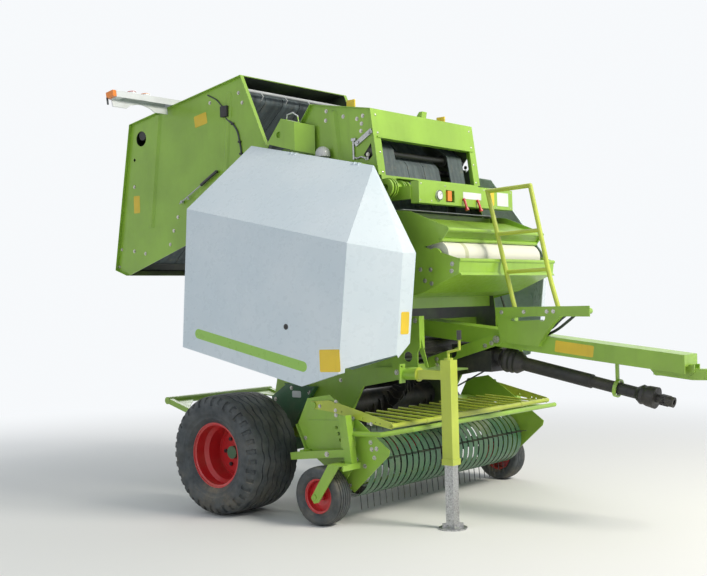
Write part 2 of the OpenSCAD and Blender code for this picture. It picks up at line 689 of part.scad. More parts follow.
module wheel(side) {
    r = rim_d / 2 - clear;
    h = rim_w / 2;
    color(red) translate([0, side * track_w / 2, axle_z]) rotate([-90 * side, 0, 0]) {
        rotate_extrude() polygon([[r, -h], [r, -h + 15], [r - 12, -h + 19], [r - 12, -110], [r - 36, -84], [r - 36, 84],
            [r - 12, 110], [r - 12, h - 19], [r, h - 15], [r, h], [r - 8, h], [r - 8, h - 8], [r - 20, h - 14],
            [r - 20, 114], [r - 44, 88], [r - 44, -88], [r - 20, -114], [r - 20, -h + 14], [r - 8, -h + 8], [r - 8, -h]]);
        rotate_extrude() polygon([[stub_r + fit, -disc_out - hub_l], [75, -disc_out - hub_l], [80, -disc_out - disc_t],
            [150, -disc_out - disc_t], [165, -disc_out - disc_t - 14], [r - 43, -disc_out - disc_t - 14],
            [r - 43, -disc_out - 14], [170, -disc_out - 14], [155, -disc_out], [stub_r + fit, -disc_out]]);
        for (k = [0:nut_count - 1]) rotate(k * 360 / nut_count) translate([nut_circle, 0, -disc_out - 1])
            cylinder(h = 15, r = 15, $fn = 6);
    }
}
module tyre_r() main_tyre(-1);
module tyre_l() main_tyre(1);
module wheel_r() wheel(-1);
module wheel_l() wheel(1);

// Pickup: side panels, cross tube, guide plates and the arms of the gauge wheels
reel_c = [960, 375];
reel_shaft_r = 30;
lift_pivot = [560, 640];
lift_pin_r = 25;
panel_y = pickup_w / 2;
band_r = 205;
band_back = 300;
back_tube = [610, 470];
gauge_c = [870, gauge_d / 2];
gauge_pin_r = 10;
gauge_y = panel_y + 125;
gauge_arm_y = gauge_y - 40;
panel_points = [[638, 840], [843, 872], [979, 785], [1099, 704], [1359, 519], [1349, 482], [1047, 217], [629, 474], [539, 655]];
column = [[1045, 745], [1092, 424]];
hoop = [[1060, 0, 620], [1330, 0, 628], [1500, -120, 660]];
hoop_r = 17;
module pickup_frame() {
    color(leaf) {
        both() difference() {
            union() {
                slab(panel_points, panel_y, panel_y + 6);
                // Folded edge along the back, and the strip with the row of setting holes
                slab([[539, 655], [629, 474], [635, 478], [545, 657]], panel_y, panel_y + 30);
                slab([[640, 690], [935, 700], [1010, 470], [665, 452]], panel_y + 5, panel_y + 12);
                bar_y(guard_pivot, guard_pin_r, panel_y, panel_y + 24);
                bar_y(guard_pivot, guard_pin_r + 10, panel_y + 16, panel_y + 24);
            }
            bar_y(reel_c, reel_shaft_r + fit, panel_y - 1, panel_y + 7);
            for (i = [0:3]) bar_y([905 + i * 17, 650 - i * 42], 13, panel_y - 1, panel_y + 13);
        }
        bar_y(back_tube, 28, -panel_y - 1, panel_y + 1);
        // Arms that hang the pickup on the chamber
        both() difference() {
            slab([back_tube + [-20, -25], back_tube + [20, 20], lift_pivot + [35, 25], lift_pivot + [-35, 25], lift_pivot + [-35, -35]],
                 side_y + 16, side_y + 28);
            bar_y(lift_pivot, lift_pin_r + fit, side_y, side_y + 40);
        }
        // Flat bars that carry the ends of the stripper bands
        for (z = [band_r - 13, -band_r + 3]) translate([660, -panel_y - 1, reel_c[1] + z]) cube([60, 2 * panel_y + 2, 10]);
        both() bar_y(gauge_c, gauge_pin_r, gauge_y - gauge_w / 2 - 24, gauge_y + gauge_w / 2 + 24);
        both() bar_y(gauge_c, gauge_pin_r + 8, gauge_y + gauge_w / 2 + 16, gauge_y + gauge_w / 2 + 24);
    }
    color(deep) both() {
        // Walls and sloped guides that lead the crop in to the chamber's mouth
        translate([640, side_y + 34, 470]) cube([6, panel_y - side_y - 33, 240]);
        slab([[646, 700], [646, 706], [760, 676], [760, 670]], side_y + 34, panel_y + 1);
        slab([[641, 584], [641, 700], [740, 672], [705, 584]], side_y + 34, side_y + 40);
    }
    color(lime) both() {
        box_bar([column[0][0], gauge_arm_y, column[0][1]], [column[1][0], gauge_arm_y, column[1][1]], 60, 60);
        box_bar([1066, gauge_arm_y, 602], [1075, gauge_arm_y, 540], 68, 68);
        translate([1000, panel_y + 5, 655]) cube([60, gauge_arm_y - panel_y, 46]);
        translate([1010, panel_y + 5, 520]) cube([50, gauge_arm_y - panel_y, 40]);
        // Square beam behind the column, with its stay to the panel
        box_bar([560, gauge_arm_y, 442], [1050, gauge_arm_y, 494], 50, 50);
        translate([630, panel_y + 5, 458]) cube([40, gauge_arm_y - panel_y, 30]);
        // Fork: a channel over the tyre, and an arm each side of the wheel
        fork_0 = gauge_y - gauge_w / 2 - 16;
        fork_1 = gauge_y + gauge_w / 2 + 16;
        slab([[1000, 430], [1132, 430], [1132, 392], [1124, 392], [1124, 422], [1000, 422]], fork_0, fork_1);
        for (y = [fork_0, fork_1 - 8])
            slab([[1000, 430], [1100, 430], [905, gauge_c[1] - 34], [866, gauge_c[1] - 44], [838, gauge_c[1] - 8]], y, y + 8);
        // Hoop in front of the wind guard
        bent_tube([for (p = hoop) [p[0], gauge_y - 75 + p[1], p[2]]], hoop_r);
        rod([hoop[2][0], gauge_y - 75 + hoop[2][1], hoop[2][2]], [hoop[2][0], -1, hoop[2][2]], hoop_r);
        translate([hoop[2][0], gauge_y - 75 + hoop[2][1], hoop[2][2]]) sphere(r = hoop_r + 0.5);
    }
}
band_t = 3;
module pickup_bands() {
    color(deep) {
        n = floor((2 * panel_y - 20) / tine_pitch);
        for (i = [0:n - 1]) {
            y = (i - (n - 1) / 2) * tine_pitch;
            xz(y - 26, y + 26) difference() {
                union() {
                    translate(reel_c) circle(r = band_r);
                    translate(reel_c + [-band_back, -band_r]) square([band_back, 2 * band_r]);
                }
                translate(reel_c) circle(r = band_r - band_t);
                translate(reel_c + [-band_back - 1, -band_r + band_t]) square([band_back + 1, 2 * (band_r - band_t)]);
            }
        }
    }
}
bar_ring_r = 165;
spoke_w = 50;
module reel() {
    color(black) {
        bar_y(reel_c, reel_shaft_r, -panel_y - 10, panel_y + 10);
        n = floor((2 * panel_y - 20) / tine_pitch) - 1;
        for (k = [0:tine_bars - 1]) {
            a = 360 * k / tine_bars + 20;
            p = reel_c + turn([bar_ring_r, 0], a);
            q = reel_c + turn([tine_tip_r - 3, -36], a);
            bar_y(p, 14, -panel_y + 20, panel_y - 20);
            for (i = [0:n - 1]) {
                y = (i - (n - 1) / 2) * tine_pitch;
                rod([p[0], y, p[1]], [q[0], y, q[1]], tine_d / 2);
                if (i % 2 == 0) bar_y(p, 21, y - 2, y + 30);
            }
        }
        // Spiders that carry the tine bars
        for (y = [-panel_y + 60, -335, 335, panel_y - 60]) xz(y - 4, y + 4) translate(reel_c) {
            circle(r = 60);
            for (k = [0:tine_bars - 1]) rotate(360 * k / tine_bars + 20) {
                translate([0, -spoke_w / 2]) square([bar_ring_r, spoke_w]);
                translate([bar_ring_r, 0]) circle(r = spoke_w / 2);
            }
        }
    }
}
rotor_tip_r = 190;
rotor_pitch = 68;
module feed_rotor() {
    color(black) {
        bar_y(rotor_c, 95, -inner_y + 10, inner_y - 10);
        bar_y(rotor_c, rotor_shaft_r, -side_y - 14, side_y + 14);
        for (i = [-8:8]) xz(i * rotor_pitch - 4, i * rotor_pitch + 4) translate(rotor_c) rotate(i * 17)
            for (s = [0, 180]) rotate(s)
                polygon([[0, -80], [110, -60], [rotor_tip_r - 8, -8], [rotor_tip_r - 2, 14], [rotor_tip_r - 50, 18], [90, 70], [0, 80]]);
    }
}

guard_pivot = [703, 795];
guard_pin_r = 14;
guard_tube = [1387, 684];
guard_pitch = 130;
module wind_guard() {
    color(lime) {
        both() difference() {
            slab([guard_pivot + [-30, -22], guard_pivot + [160, -40], guard_tube + [0, -22], guard_tube + [0, 22],
                  guard_pivot + [276, 10], guard_pivot + [140, 40], guard_pivot + [-24, 26]], panel_y + 8, panel_y + 14);
            bar_y(guard_pivot, guard_pin_r + fit, panel_y, panel_y + 20);
            for (p = [[960, 760], [1140, 724], [1250, 702], [1290, 694]]) bar_y(p, 6, panel_y, panel_y + 20);
        }
        ring_y(guard_tube, 17, 12, -panel_y - 20, panel_y + 20);
        bar_y(guard_tube, 20, -330, 330);
        for (y = [-620, 620]) bar_y(guard_tube, 20, y - 18, y + 18);
        for (i = [0:guard_rods - 1]) {
            y = (i - (guard_rods - 1) / 2) * guard_pitch;
            rod([guard_tube[0], y, guard_tube[1]], [870, y, 716], 8);
        }
    }
}

gauge_rim = 118;
module gauge_tyre(side) {
    color(black) translate([gauge_c[0], side * gauge_y, gauge_c[1]]) tyre(gauge_d, gauge_w, gauge_rim, 110, 4, 6, $fn = 32);
}
module gauge_wheel(side) {
    r = gauge_rim - clear;
    color(red) translate([gauge_c[0], side * gauge_y, gauge_c[1]]) rotate([-90 * side, 0, 0]) rotate_extrude() polygon([
        [gauge_pin_r + fit, -30], [28, -30], [32, -4], [70, 8], [r - 14, 4], [r - 14, -46], [r - 6, -50], [r - 6, -55], [r, -55],
        [r, 55], [r - 6, 55], [r - 6, 50], [r - 14, 46], [r - 14, 14], [68, 18], [30, 6], [28, 30], [gauge_pin_r + fit, 30]]);
}
module gauge_tyre_r() gauge_tyre(-1);
module gauge_tyre_l() gauge_tyre(1);
module gauge_wheel_r() gauge_wheel(-1);
module gauge_wheel_l() gauge_wheel(1);

// Tailgate, drawn as it stands raised
gate_hole = [-1570, 2958];
gate_hole_r = 65;
gate_bar = [-322, 3206];
module gate_outline() {
    difference() {
        polygon(concat(gate_outer, gate_seam));
        translate(hinge) circle(r = hinge_pin_r + 60);
        translate(gate_hole) circle(r = gate_hole_r);
        for (p = [[-1666, 2784], [-1674, 2554]]) translate(p) circle(r = 14);
    }
}
module tailgate() {
    color(leaf) {
        both() {
            xz(inner_y, side_y) gate_outline();
            // Flanges folded out along the front, the back and the lower edge
            edge_strip([gate_outer[3], gate_outer[2], gate_outer[1], gate_outer[0], gate_seam[2]], sheet, side_y - 1, side_y + flange_w);
            fold_rib([-1467, 2190], [-1335, 3130], 82, 18, side_y);
            fold_rib([-560, 2300], [-470, 3200], 60, 10, side_y);
            // Ear on the hinge, with the arm that takes the lift cylinder
            difference() {
                xz(side_y, side_y + ear_t) {
                    translate(hinge) circle(r = hinge_pin_r + 30);
                    polygon([hinge + [8, 58], hinge + [8, -58], [-300, 2400], [-430, 2400], [-440, 2520], [-250, 2620]]);
                }
                bar_y(hinge, hinge_pin_r + fit, side_y - 1, side_y + ear_t + 1);
            }
            // Short gas strut that holds the tailgate's latch, with its two posts
            for (p = [[-618, 2582], [-1040, 2372]]) bar_y(p, 12, side_y - 1, side_y + 34);
            rod([-618, side_y + 26, 2582], [-800, side_y + 26, 2491], 13);
            rod([-800, side_y + 26, 2491], [-1066, side_y + 26, 2359], 5);
            rod([-966, side_y + 20, 2401], [-940, side_y + 44, 2388], 8);
        }
        // Outer skin over the back and the floor of the gate
        slab([[-1929, 1839], [-1696, 3093], [-319, 3318], [-321, 3312], [-1691, 3088], [-1923, 1840]], -inner_y - 1, inner_y + 1);
        slab([[-1929, 1839], [-1778, 1787], [-1776, 1793], [-1926, 1846]], -inner_y - 1, inner_y + 1);
    }
    // Cross bar behind the front edge, with hooks for the net's knife
    color(steel) {
        bar_y(gate_bar, 13, -inner_y - 1, inner_y + 1);
        for (y = [-420, -140, 140, 420]) bent_tube([[gate_bar[0], y, gate_bar[1]], [gate_bar[0] + 30, y, gate_bar[1] - 34],
                                                    [gate_bar[0] + 8, y, gate_bar[1] - 66]], 5);
    }
}
gate_roll = [[-430, 3170], [-1560, 2990], [-1790, 1950]];
module tailgate_rollers() {
    color(black) for (p = gate_roll) bar_y(p, roller_r, -inner_y + clear, inner_y - clear);
}
module tailgate_belts() {
    color(rubber_grey) for (i = [0:belt_count - 1]) belt(i, gate_roll);
}
light_x = -1220;
light_root = 200;
back_slope = slope(gate_outer[1], gate_outer[2]);
module light_bar() {
    l = light_y - light_root;
    color(white) both() translate([light_x, light_root, z_on(gate_outer[1], gate_outer[2], light_x)]) rotate([0, -back_slope, 0]) {
        difference() {
            translate([0, 0, 0]) cube([96, l, 52]);
            translate([4, side_y + 30 - light_root, -1]) cube([88, l - side_y - 34 + light_root - 60, 49]);
        }
        // Two rear lamps and the amber lamp at the end
        for (y = [l - 190, l - 330]) translate([48, y, 51]) cylinder(h = 16, r = 44);
        translate([4, l - 1, 4]) cube([88, 34, 50]);
        // Curved support under the bar
        support_0 = side_y + flange_w + 1 - light_root;
        translate([20, support_0, 0]) rotate([90, 0, 90]) linear_extrude(8) difference() {
            translate([0, -60]) square([l - support_0, 61]);
            translate([(l - support_0) / 2, -250]) circle(r = 238);
        }
    }
}

// Hoods: folded shells over both sides, open underneath
hood_main = [[-334, 2234], [1218, 1897], [1114, 1034], [783, 944], [-416, 1204]];
module hood_shape(t) {
    // Corner points as X, distance from the centre plane and Z
    pts = concat([for (p = hood_main) [p[0], hood_y - t, p[1]]],
                 [[-108, 750, 2726 - t], [1084, 750, 2458 - t], [1471 - t, 950, 1824 - t], [1389 - t, 950, 1112 + t],
                  [1503 - t, 850, 1824 - t], [1433 - t, 850, 1223 + t], [-416 , 750, 1204]]);
    hull() for (p = pts) translate(p) cube(0.5, center = true);
}
hood_edge = [[-108, 2726], [1084, 2458]];
hood_pin_r = 8;
hood_pin_l = 30;
hood_hinge_y = 740;
hood_lip = 30;
function on_edge(x) = [x, z_on(hood_edge[0], hood_edge[1], x) - 12];
hood_hinges = [on_edge(330), on_edge(930)];
module hood_axis(p, a) {
    translate([p[0], hood_hinge_y, p[1]]) rotate([0, 90 - slope(hood_edge[0], hood_edge[1]), 0]) translate([0, 0, a]) children();
}
module hood() {
    color(white) {
        difference() {
            hood_shape(0);
            translate([0, -3, 0]) hood_shape(hood_t);
            translate([-1000, 0, 0]) cube([3000, 752, 3000]);
            slab([[-390, 1150], [783, 890], [1114, 960], [1400, 1060], [1395, 1150], [1114, 1060], [783, 966], [-390, 1222]],
                 700, hood_y - hood_lip);
        }
        // Stiffening channel inside the face, and the hinge lugs
        slab([[-300, 1500], [1160, 1500], [1160, 1540], [-300, 1540]], hood_y - hood_t - 20, hood_y - hood_t + 1);
        for (p = hood_hinges, s = [-hood_pin_l + 2, 11]) difference() {
            hood_axis(p, s) {
                cylinder(h = 17, r = 14);
                translate([-7, 2, 0]) cube([14, 26, 17]);
            }
            hood_axis(p, -40) cylinder(h = 80, r = hood_pin_r + fit);
        }
    }
}
module hood_l() hood();
module hood_r() mirror([0, 1, 0]) hood();

// Tailgate cylinders: barrel on the side plate, rod eye beside the ear
cyl_base = [620, 1600];
cyl_eye = [-306, 2457];
cyl_pin_r = 20;
piston_r = 18;
barrel_r0 = 34;
cyl_y = side_y + ear_t + 45;
cyl_dir = (cyl_eye - cyl_base) / norm(cyl_eye - cyl_base);
cyl_shut = norm(shut(cyl_eye) - cyl_base);
barrel_l0 = cyl_shut - 90;
module along_cylinder(side, d) {
    e = cyl_base + cyl_dir;
    aim([cyl_base[0], side * cyl_y, cyl_base[1]], [e[0], side * cyl_y, e[1]]) translate([0, 0, d]) children();
}
module barrel(side) {
    color(black) difference() {
        union() {
            along_cylinder(side, 38) cylinder(h = barrel_l0 - 38, r = barrel_r0);
            along_cylinder(side, barrel_l0 - 46) cylinder(h = 46, r = barrel_r0 + 6);
            along_cylinder(side, 52) cylinder(h = 16, r = barrel_r0 + 5);
            bar_y(cyl_base, cyl_pin_r + 22, side * cyl_y - 25, side * cyl_y + 25);
        }
        bar_y(cyl_base, cyl_pin_r + fit, side * cyl_y - 40, side * cyl_y + 40);
        along_cylinder(side, 120) cylinder(h = barrel_l0, r = piston_r + fit);
    }
}
module piston_rod(side) {
    color(steel) {
        along_cylinder(side, cyl_shut - 180) cylinder(h = norm(cyl_eye - cyl_base) - cyl_shut + 160, r = piston_r);
        bar_y(cyl_eye, 36, side * cyl_y - 20, side * cyl_y + 20);
        bar_y(cyl_eye, cyl_pin_r, side * cyl_y - 42, side * cyl_y + 42);
    }
}
module barrel_r() barrel(-1);
module barrel_l() barrel(1);
module rod_r() piston_rod(-1);
module rod_l() piston_rod(1);

// Parking jack on its bracket at the right front corner, foot down
jack_x = 1680;
jack_y = -side_y - 140;
jack_z = 1010;
jack_top = 1110;
jack_bottom = 420;
jack_t = 8;
spigot_r = 25;
module jack_body() {
    color(lime) {
        translate([jack_x - jack_w / 2, jack_y - jack_w / 2, jack_bottom]) difference() {
            cube([jack_w, jack_w, jack_top - jack_bottom]);
            translate([jack_t, jack_t, -1]) cube([jack_w - 2 * jack_t, jack_w - 2 * jack_t, jack_top - jack_bottom - 10]);
        }
        translate([jack_x - jack_w / 2 - 5, jack_y - jack_w / 2 - 5, jack_bottom]) difference() {
            cube([jack_w + 10, jack_w + 10, 40]);
            translate([5, 5, -1]) cube([jack_w, jack_w, 42]);
        }
        bar_x(1345, 1455, jack_y, jack_z, spigot_r);
        box_bar([1436, jack_y, jack_z], [jack_x - jack_w / 2 + 1, jack_y, jack_z], 60, 60);
        bar_x(1432, 1440, jack_y, jack_z, 48);
        translate([jack_x, jack_y, jack_top - 1]) cylinder(h = 14, r = 30);
    }
}
module jack_leg() {
    w = jack_w - 2 * jack_t - 2 * clear;
    color(steel) {
        translate([jack_x - w / 2, jack_y - w / 2, 8]) cube([w, w, 700]);
        translate([jack_x, jack_y, 0]) cylinder(h = 10, r = 95);
        translate([jack_x, jack_y, 9]) cylinder(h = 14, r1 = 60, r2 = 36);
        for (a = [45, 135]) translate([jack_x, jack_y, 8]) rotate(a) translate([-70, -4, 0]) cube([140, 8, 30]);
    }
}
module jack_crank() {
    top = jack_top + 13;
    color(lime) bent_tube([[jack_x, jack_y, top], [jack_x, jack_y, top + 40], [jack_x + 130, jack_y - 60, top + 62],
                           [jack_x + 130, jack_y - 60, top + 130]], 9);
    color(black) translate([jack_x + 130, jack_y - 60, top + 125]) cylinder(h = 60, r = 16);
}

// Ramp that rolls the bale clear: a frame with gussets at its tip
ramp_pivot = [-150, 375];
ramp_tip = [-1310, 717];
ramp_pin_r = 15;
ramp_gusset = 230;
module bale_ramp() {
    dir = (ramp_tip - ramp_pivot) / norm(ramp_tip - ramp_pivot);
    color(leaf) {
        both() difference() {
            union() {
                box_bar([ramp_pivot[0], ramp_y, ramp_pivot[1]], [ramp_tip[0], ramp_y, ramp_tip[1]], 40, 44);
                bar_y(ramp_pivot, 30, ramp_y - 22, ramp_y + 18);
                // Gusset plate in the corner of the frame
                aim([ramp_tip[0], ramp_y, ramp_tip[1]], [ramp_pivot[0], ramp_y, ramp_pivot[1]])
                    rotate([0, 0, 0]) translate([-5, 0, 0]) rotate([90, 0, 90]) linear_extrude(10)
                    polygon([[0, 0], [-ramp_gusset, 0], [-ramp_gusset, 50], [-20, ramp_gusset], [0, ramp_gusset]]);
            }
            bar_y(ramp_pivot, ramp_pin_r + fit, ramp_y - 30, ramp_y + 30);
        }
        bar_y(ramp_tip, 30, -ramp_y - 22, ramp_y + 22);
        bar_y(ramp_pivot + dir * 430, 20, -ramp_y, ramp_y);
    }
}

chamber_sides();
front_panel();
front_rollers();
front_belts();
control_panel();
net_box();
net_guides();
net_roll();
front_frame();
axle();
drawbar();
guard_rail();
gearbox();
pto_shaft();
oil_box();
latches();
drive();
tyre_r();
tyre_l();
wheel_r();
wheel_l();
pickup_frame();
pickup_bands();
reel();
feed_rotor();
wind_guard();
gauge_tyre_r();
gauge_tyre_l();
gauge_wheel_r();
gauge_wheel_l();
tailgate();
tailgate_rollers();
tailgate_belts();
light_bar();
hood_r();
hood_l();
barrel_r();
barrel_l();
rod_r();
rod_l();
jack_body();
jack_leg();
jack_crank();
bale_ramp();
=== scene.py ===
import math

import bmesh
import bpy
from mathutils import Matrix, Vector


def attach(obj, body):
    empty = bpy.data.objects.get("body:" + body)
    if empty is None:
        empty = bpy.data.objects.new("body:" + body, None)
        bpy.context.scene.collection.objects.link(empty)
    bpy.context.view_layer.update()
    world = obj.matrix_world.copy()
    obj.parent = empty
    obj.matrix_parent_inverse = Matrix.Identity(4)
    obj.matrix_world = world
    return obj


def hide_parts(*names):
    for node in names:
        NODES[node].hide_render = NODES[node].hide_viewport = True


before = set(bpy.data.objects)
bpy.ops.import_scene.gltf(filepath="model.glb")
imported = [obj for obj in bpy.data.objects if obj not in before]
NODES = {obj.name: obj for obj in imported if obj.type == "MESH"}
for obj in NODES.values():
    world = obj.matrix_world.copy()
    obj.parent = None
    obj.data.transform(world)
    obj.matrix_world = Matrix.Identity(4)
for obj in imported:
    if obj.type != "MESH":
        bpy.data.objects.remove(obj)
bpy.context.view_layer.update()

# Paint and material colours
LEAF = (0.285, 0.490, 0.050)
# Brighter, yellower copy of the leaf paint: painted sunlight on the guard rail, wind guard and jack
LEAF_SUNLIT = (0.480, 0.570, 0.060)
DEEP = (0.040, 0.135, 0.060)
SHELL = (0.620, 0.710, 0.770)
SHELL_PALE = (0.680, 0.755, 0.805)
STRIPE = (0.300, 0.560, 0.080)
RED = (0.560, 0.020, 0.025)
BLACK = (0.018, 0.019, 0.021)
PLASTIC = (0.022, 0.022, 0.024)
RUBBER = (0.030, 0.037, 0.042)
RUBBER_PALE = (0.072, 0.083, 0.090)
BELT = (0.090, 0.115, 0.125)
STEEL = (0.460, 0.465, 0.470)
STEEL_DARK = (0.120, 0.120, 0.125)
ZINC = (0.560, 0.550, 0.500)
RUST = (0.160, 0.100, 0.060)
DOME_GREY = (0.550, 0.570, 0.580)
STRUT_GREY = (0.500, 0.510, 0.520)
BAR_GREY = (0.500, 0.520, 0.540)
BAR_WHITE = (0.720, 0.750, 0.770)
# Dark inner walls of the chamber and tailgate: partly rubbed paint, partly painted shade
WORN_AND_SHADED_INSIDE = (0.060, 0.075, 0.055)
FILM = (0.800, 0.790, 0.700)
FILM_SEAM = (0.340, 0.360, 0.120)
PLATE_WHITE = (0.740, 0.760, 0.770)
PLATE_YELLOW = (0.800, 0.560, 0.030)
AMBER = (0.900, 0.250, 0.020)
LENS_RED = (0.550, 0.015, 0.015)
DUST = (0.420, 0.340, 0.210)
SKY = (0.880, 0.940, 1.000)
BACKDROP = (0.930, 0.950, 0.970)
FLOOR = (0.800, 0.800, 0.790)

# Places shared by several pieces, in metres
SIDES = (("r", -1), ("l", 1))
SIDE_Y = 0.620
PICKUP_Y = 1.006
HOOD_Y = 1.220
PANEL_X = 1.358
AXLE_Z = 0.433
TRACK = 1.100
GAUGE = (0.870, 1.125, 0.200)
REEL = (0.960, 0.375)
STRIPE_LINE = ((-0.240, 1.303), (0.800, 1.079))
STRIPE_HALF = 0.0357
SEAM_BOX = ((1.36, -0.405, 1.68), (1.64, -0.360, 1.95))


# Shader node helpers
def link(tree, output, target):
    tree.links.new(output, target)


def object_place(tree):
    return tree.nodes.new("ShaderNodeTexCoord").outputs["Object"]


def noise(tree, scale, detail=4.0, rough=0.55, stretch=None):
    tex = tree.nodes.new("ShaderNodeTexNoise")
    tex.inputs["Scale"].default_value = scale
    tex.inputs["Detail"].default_value = detail
    tex.inputs["Roughness"].default_value = rough
    place = object_place(tree)
    if stretch:
        mapping = tree.nodes.new("ShaderNodeMapping")
        mapping.inputs["Scale"].default_value = stretch
        link(tree, place, mapping.inputs["Vector"])
        place = mapping.outputs["Vector"]
    link(tree, place, tex.inputs["Vector"])
    return tex.outputs["Fac"]


def ramp(tree, value, low, high, out_low=0.0, out_high=1.0):
    node = tree.nodes.new("ShaderNodeMapRange")
    node.interpolation_type = "SMOOTHSTEP"
    node.inputs["From Min"].default_value = low
    node.inputs["From Max"].default_value = high
    node.inputs["To Min"].default_value = out_low
    node.inputs["To Max"].default_value = out_high
    link(tree, value, node.inputs["Value"])
    return node.outputs["Result"]


def maths(tree, kind, a, b=0.5, clamp=False):
    node = tree.nodes.new("ShaderNodeMath")
    node.operation = kind
    node.use_clamp = clamp
    for socket, value in zip(node.inputs, (a, b)):
        if isinstance(value, (int, float)):
            socket.default_value = value
        else:
            link(tree, value, socket)
    return node.outputs["Value"]


def vector_maths(tree, kind, a, b=(0.0, 0.0, 0.0)):
    node = tree.nodes.new("ShaderNodeVectorMath")
    node.operation = kind
    for socket, value in zip(node.inputs, (a, b)):
        if isinstance(value, (tuple, Vector)):
            socket.default_value = value
        else:
            link(tree, value, socket)
    return node.outputs["Value" if kind in ("DOT_PRODUCT", "LENGTH") else "Vector"]


def mix(tree, factor, a, b, blend="MIX"):
    node = tree.nodes.new("ShaderNodeMix")
    node.data_type = "RGBA"
    node.blend_type = blend
    for socket, value in ((node.inputs[0], factor), (node.inputs[6], a), (node.inputs[7], b)):
        if isinstance(value, (int, float)):
            socket.default_value = value
        elif isinstance(value, tuple):
            socket.default_value = (*value, 1.0)
        else:
            link(tree, value, socket)
    return node.outputs[2]


def bump(tree, shader, height, strength, distance):
    node = tree.nodes.new("ShaderNodeBump")
    node.inputs["Strength"].default_value = strength
    node.inputs["Distance"].default_value = distance
    link(tree, height, node.inputs["Height"])
    link(tree, node.outputs["Normal"], shader.inputs["Normal"])


def split_place(tree):
    split = tree.nodes.new("ShaderNodeSeparateXYZ")
    link(tree, object_place(tree), split.inputs["Vector"])
    return split.outputs["X"], split.outputs["Y"], split.outputs["Z"]


def facing_up(tree):
    split = tree.nodes.new("ShaderNodeSeparateXYZ")
    link(tree, tree.nodes.new("ShaderNodeNewGeometry").outputs["Normal"], split.inputs["Vector"])
    return split.outputs["Z"]


def inside_box(tree, low, high):
    """1 inside the box between two corners, with X, Y and Z in the machine's frame."""
    middle = (Vector(low) + Vector(high)) / 2
    half = (Vector(high) - Vector(low)) / 2
    away = vector_maths(tree, "ABSOLUTE", vector_maths(tree, "SUBTRACT", object_place(tree), middle))
    split = tree.nodes.new("ShaderNodeSeparateXYZ")
    link(tree, vector_maths(tree, "SUBTRACT", away, half), split.inputs["Vector"])
    worst = maths(tree, "MAXIMUM", split.outputs["Y"], split.outputs["Z"])
    worst = maths(tree, "MAXIMUM", split.outputs["X"], worst)
    return maths(tree, "LESS_THAN", worst, 0.0)


def new_material(name):
    mat = bpy.data.materials.new(name)
    mat.use_nodes = True
    return mat, mat.node_tree, mat.node_tree.nodes["Principled BSDF"]


def dusty(tree, colour, amount, low, high):
    """Field dust that thickens towards the ground and on faces that look up."""
    by_height = ramp(tree, split_place(tree)[2], low, high, 1.0, 0.12)
    on_top = ramp(tree, facing_up(tree), 0.15, 0.9, 0.35, 1.0)
    patches = ramp(tree, noise(tree, 5.0, 6.0, 0.62), 0.38, 0.72)
    fine = ramp(tree, noise(tree, 60.0, 3.0), 0.35, 0.7, 0.55, 1.0)
    lying = maths(tree, "MULTIPLY", by_height, on_top)
    broken = maths(tree, "MULTIPLY", patches, fine)
    mask = maths(tree, "MULTIPLY", maths(tree, "MULTIPLY", lying, broken), amount, clamp=True)
    return mix(tree, mask, colour, DUST), mask


def worn_edges(tree, radius=0.004):
    """1 along sharp outer edges, broken up so that the wear is uneven."""
    rounded = tree.nodes.new("ShaderNodeBevel")
    rounded.samples = 4
    rounded.inputs["Radius"].default_value = radius
    normal = tree.nodes.new("ShaderNodeNewGeometry").outputs["Normal"]
    turned = vector_maths(tree, "DOT_PRODUCT", rounded.outputs["Normal"], normal)
    broken = ramp(tree, noise(tree, 34.0, 5.0, 0.65), 0.42, 0.62)
    return maths(tree, "MULTIPLY", ramp(tree, turned, 0.80, 0.97, 1.0, 0.0), broken)


def facing_in(tree, centre):
    """1 on the inner faces of the sheets round a centre, between the side plates."""
    normal = tree.nodes.new("ShaderNodeTexCoord").outputs["Normal"]
    towards = vector_maths(tree, "SUBTRACT", Vector(centre), object_place(tree))
    inner = maths(tree, "GREATER_THAN", vector_maths(tree, "DOT_PRODUCT", normal, towards), 0.02)
    between = maths(tree, "LESS_THAN", maths(tree, "ABSOLUTE", split_place(tree)[1]), SIDE_Y - 0.0005)
    return maths(tree, "MULTIPLY", inner, between)


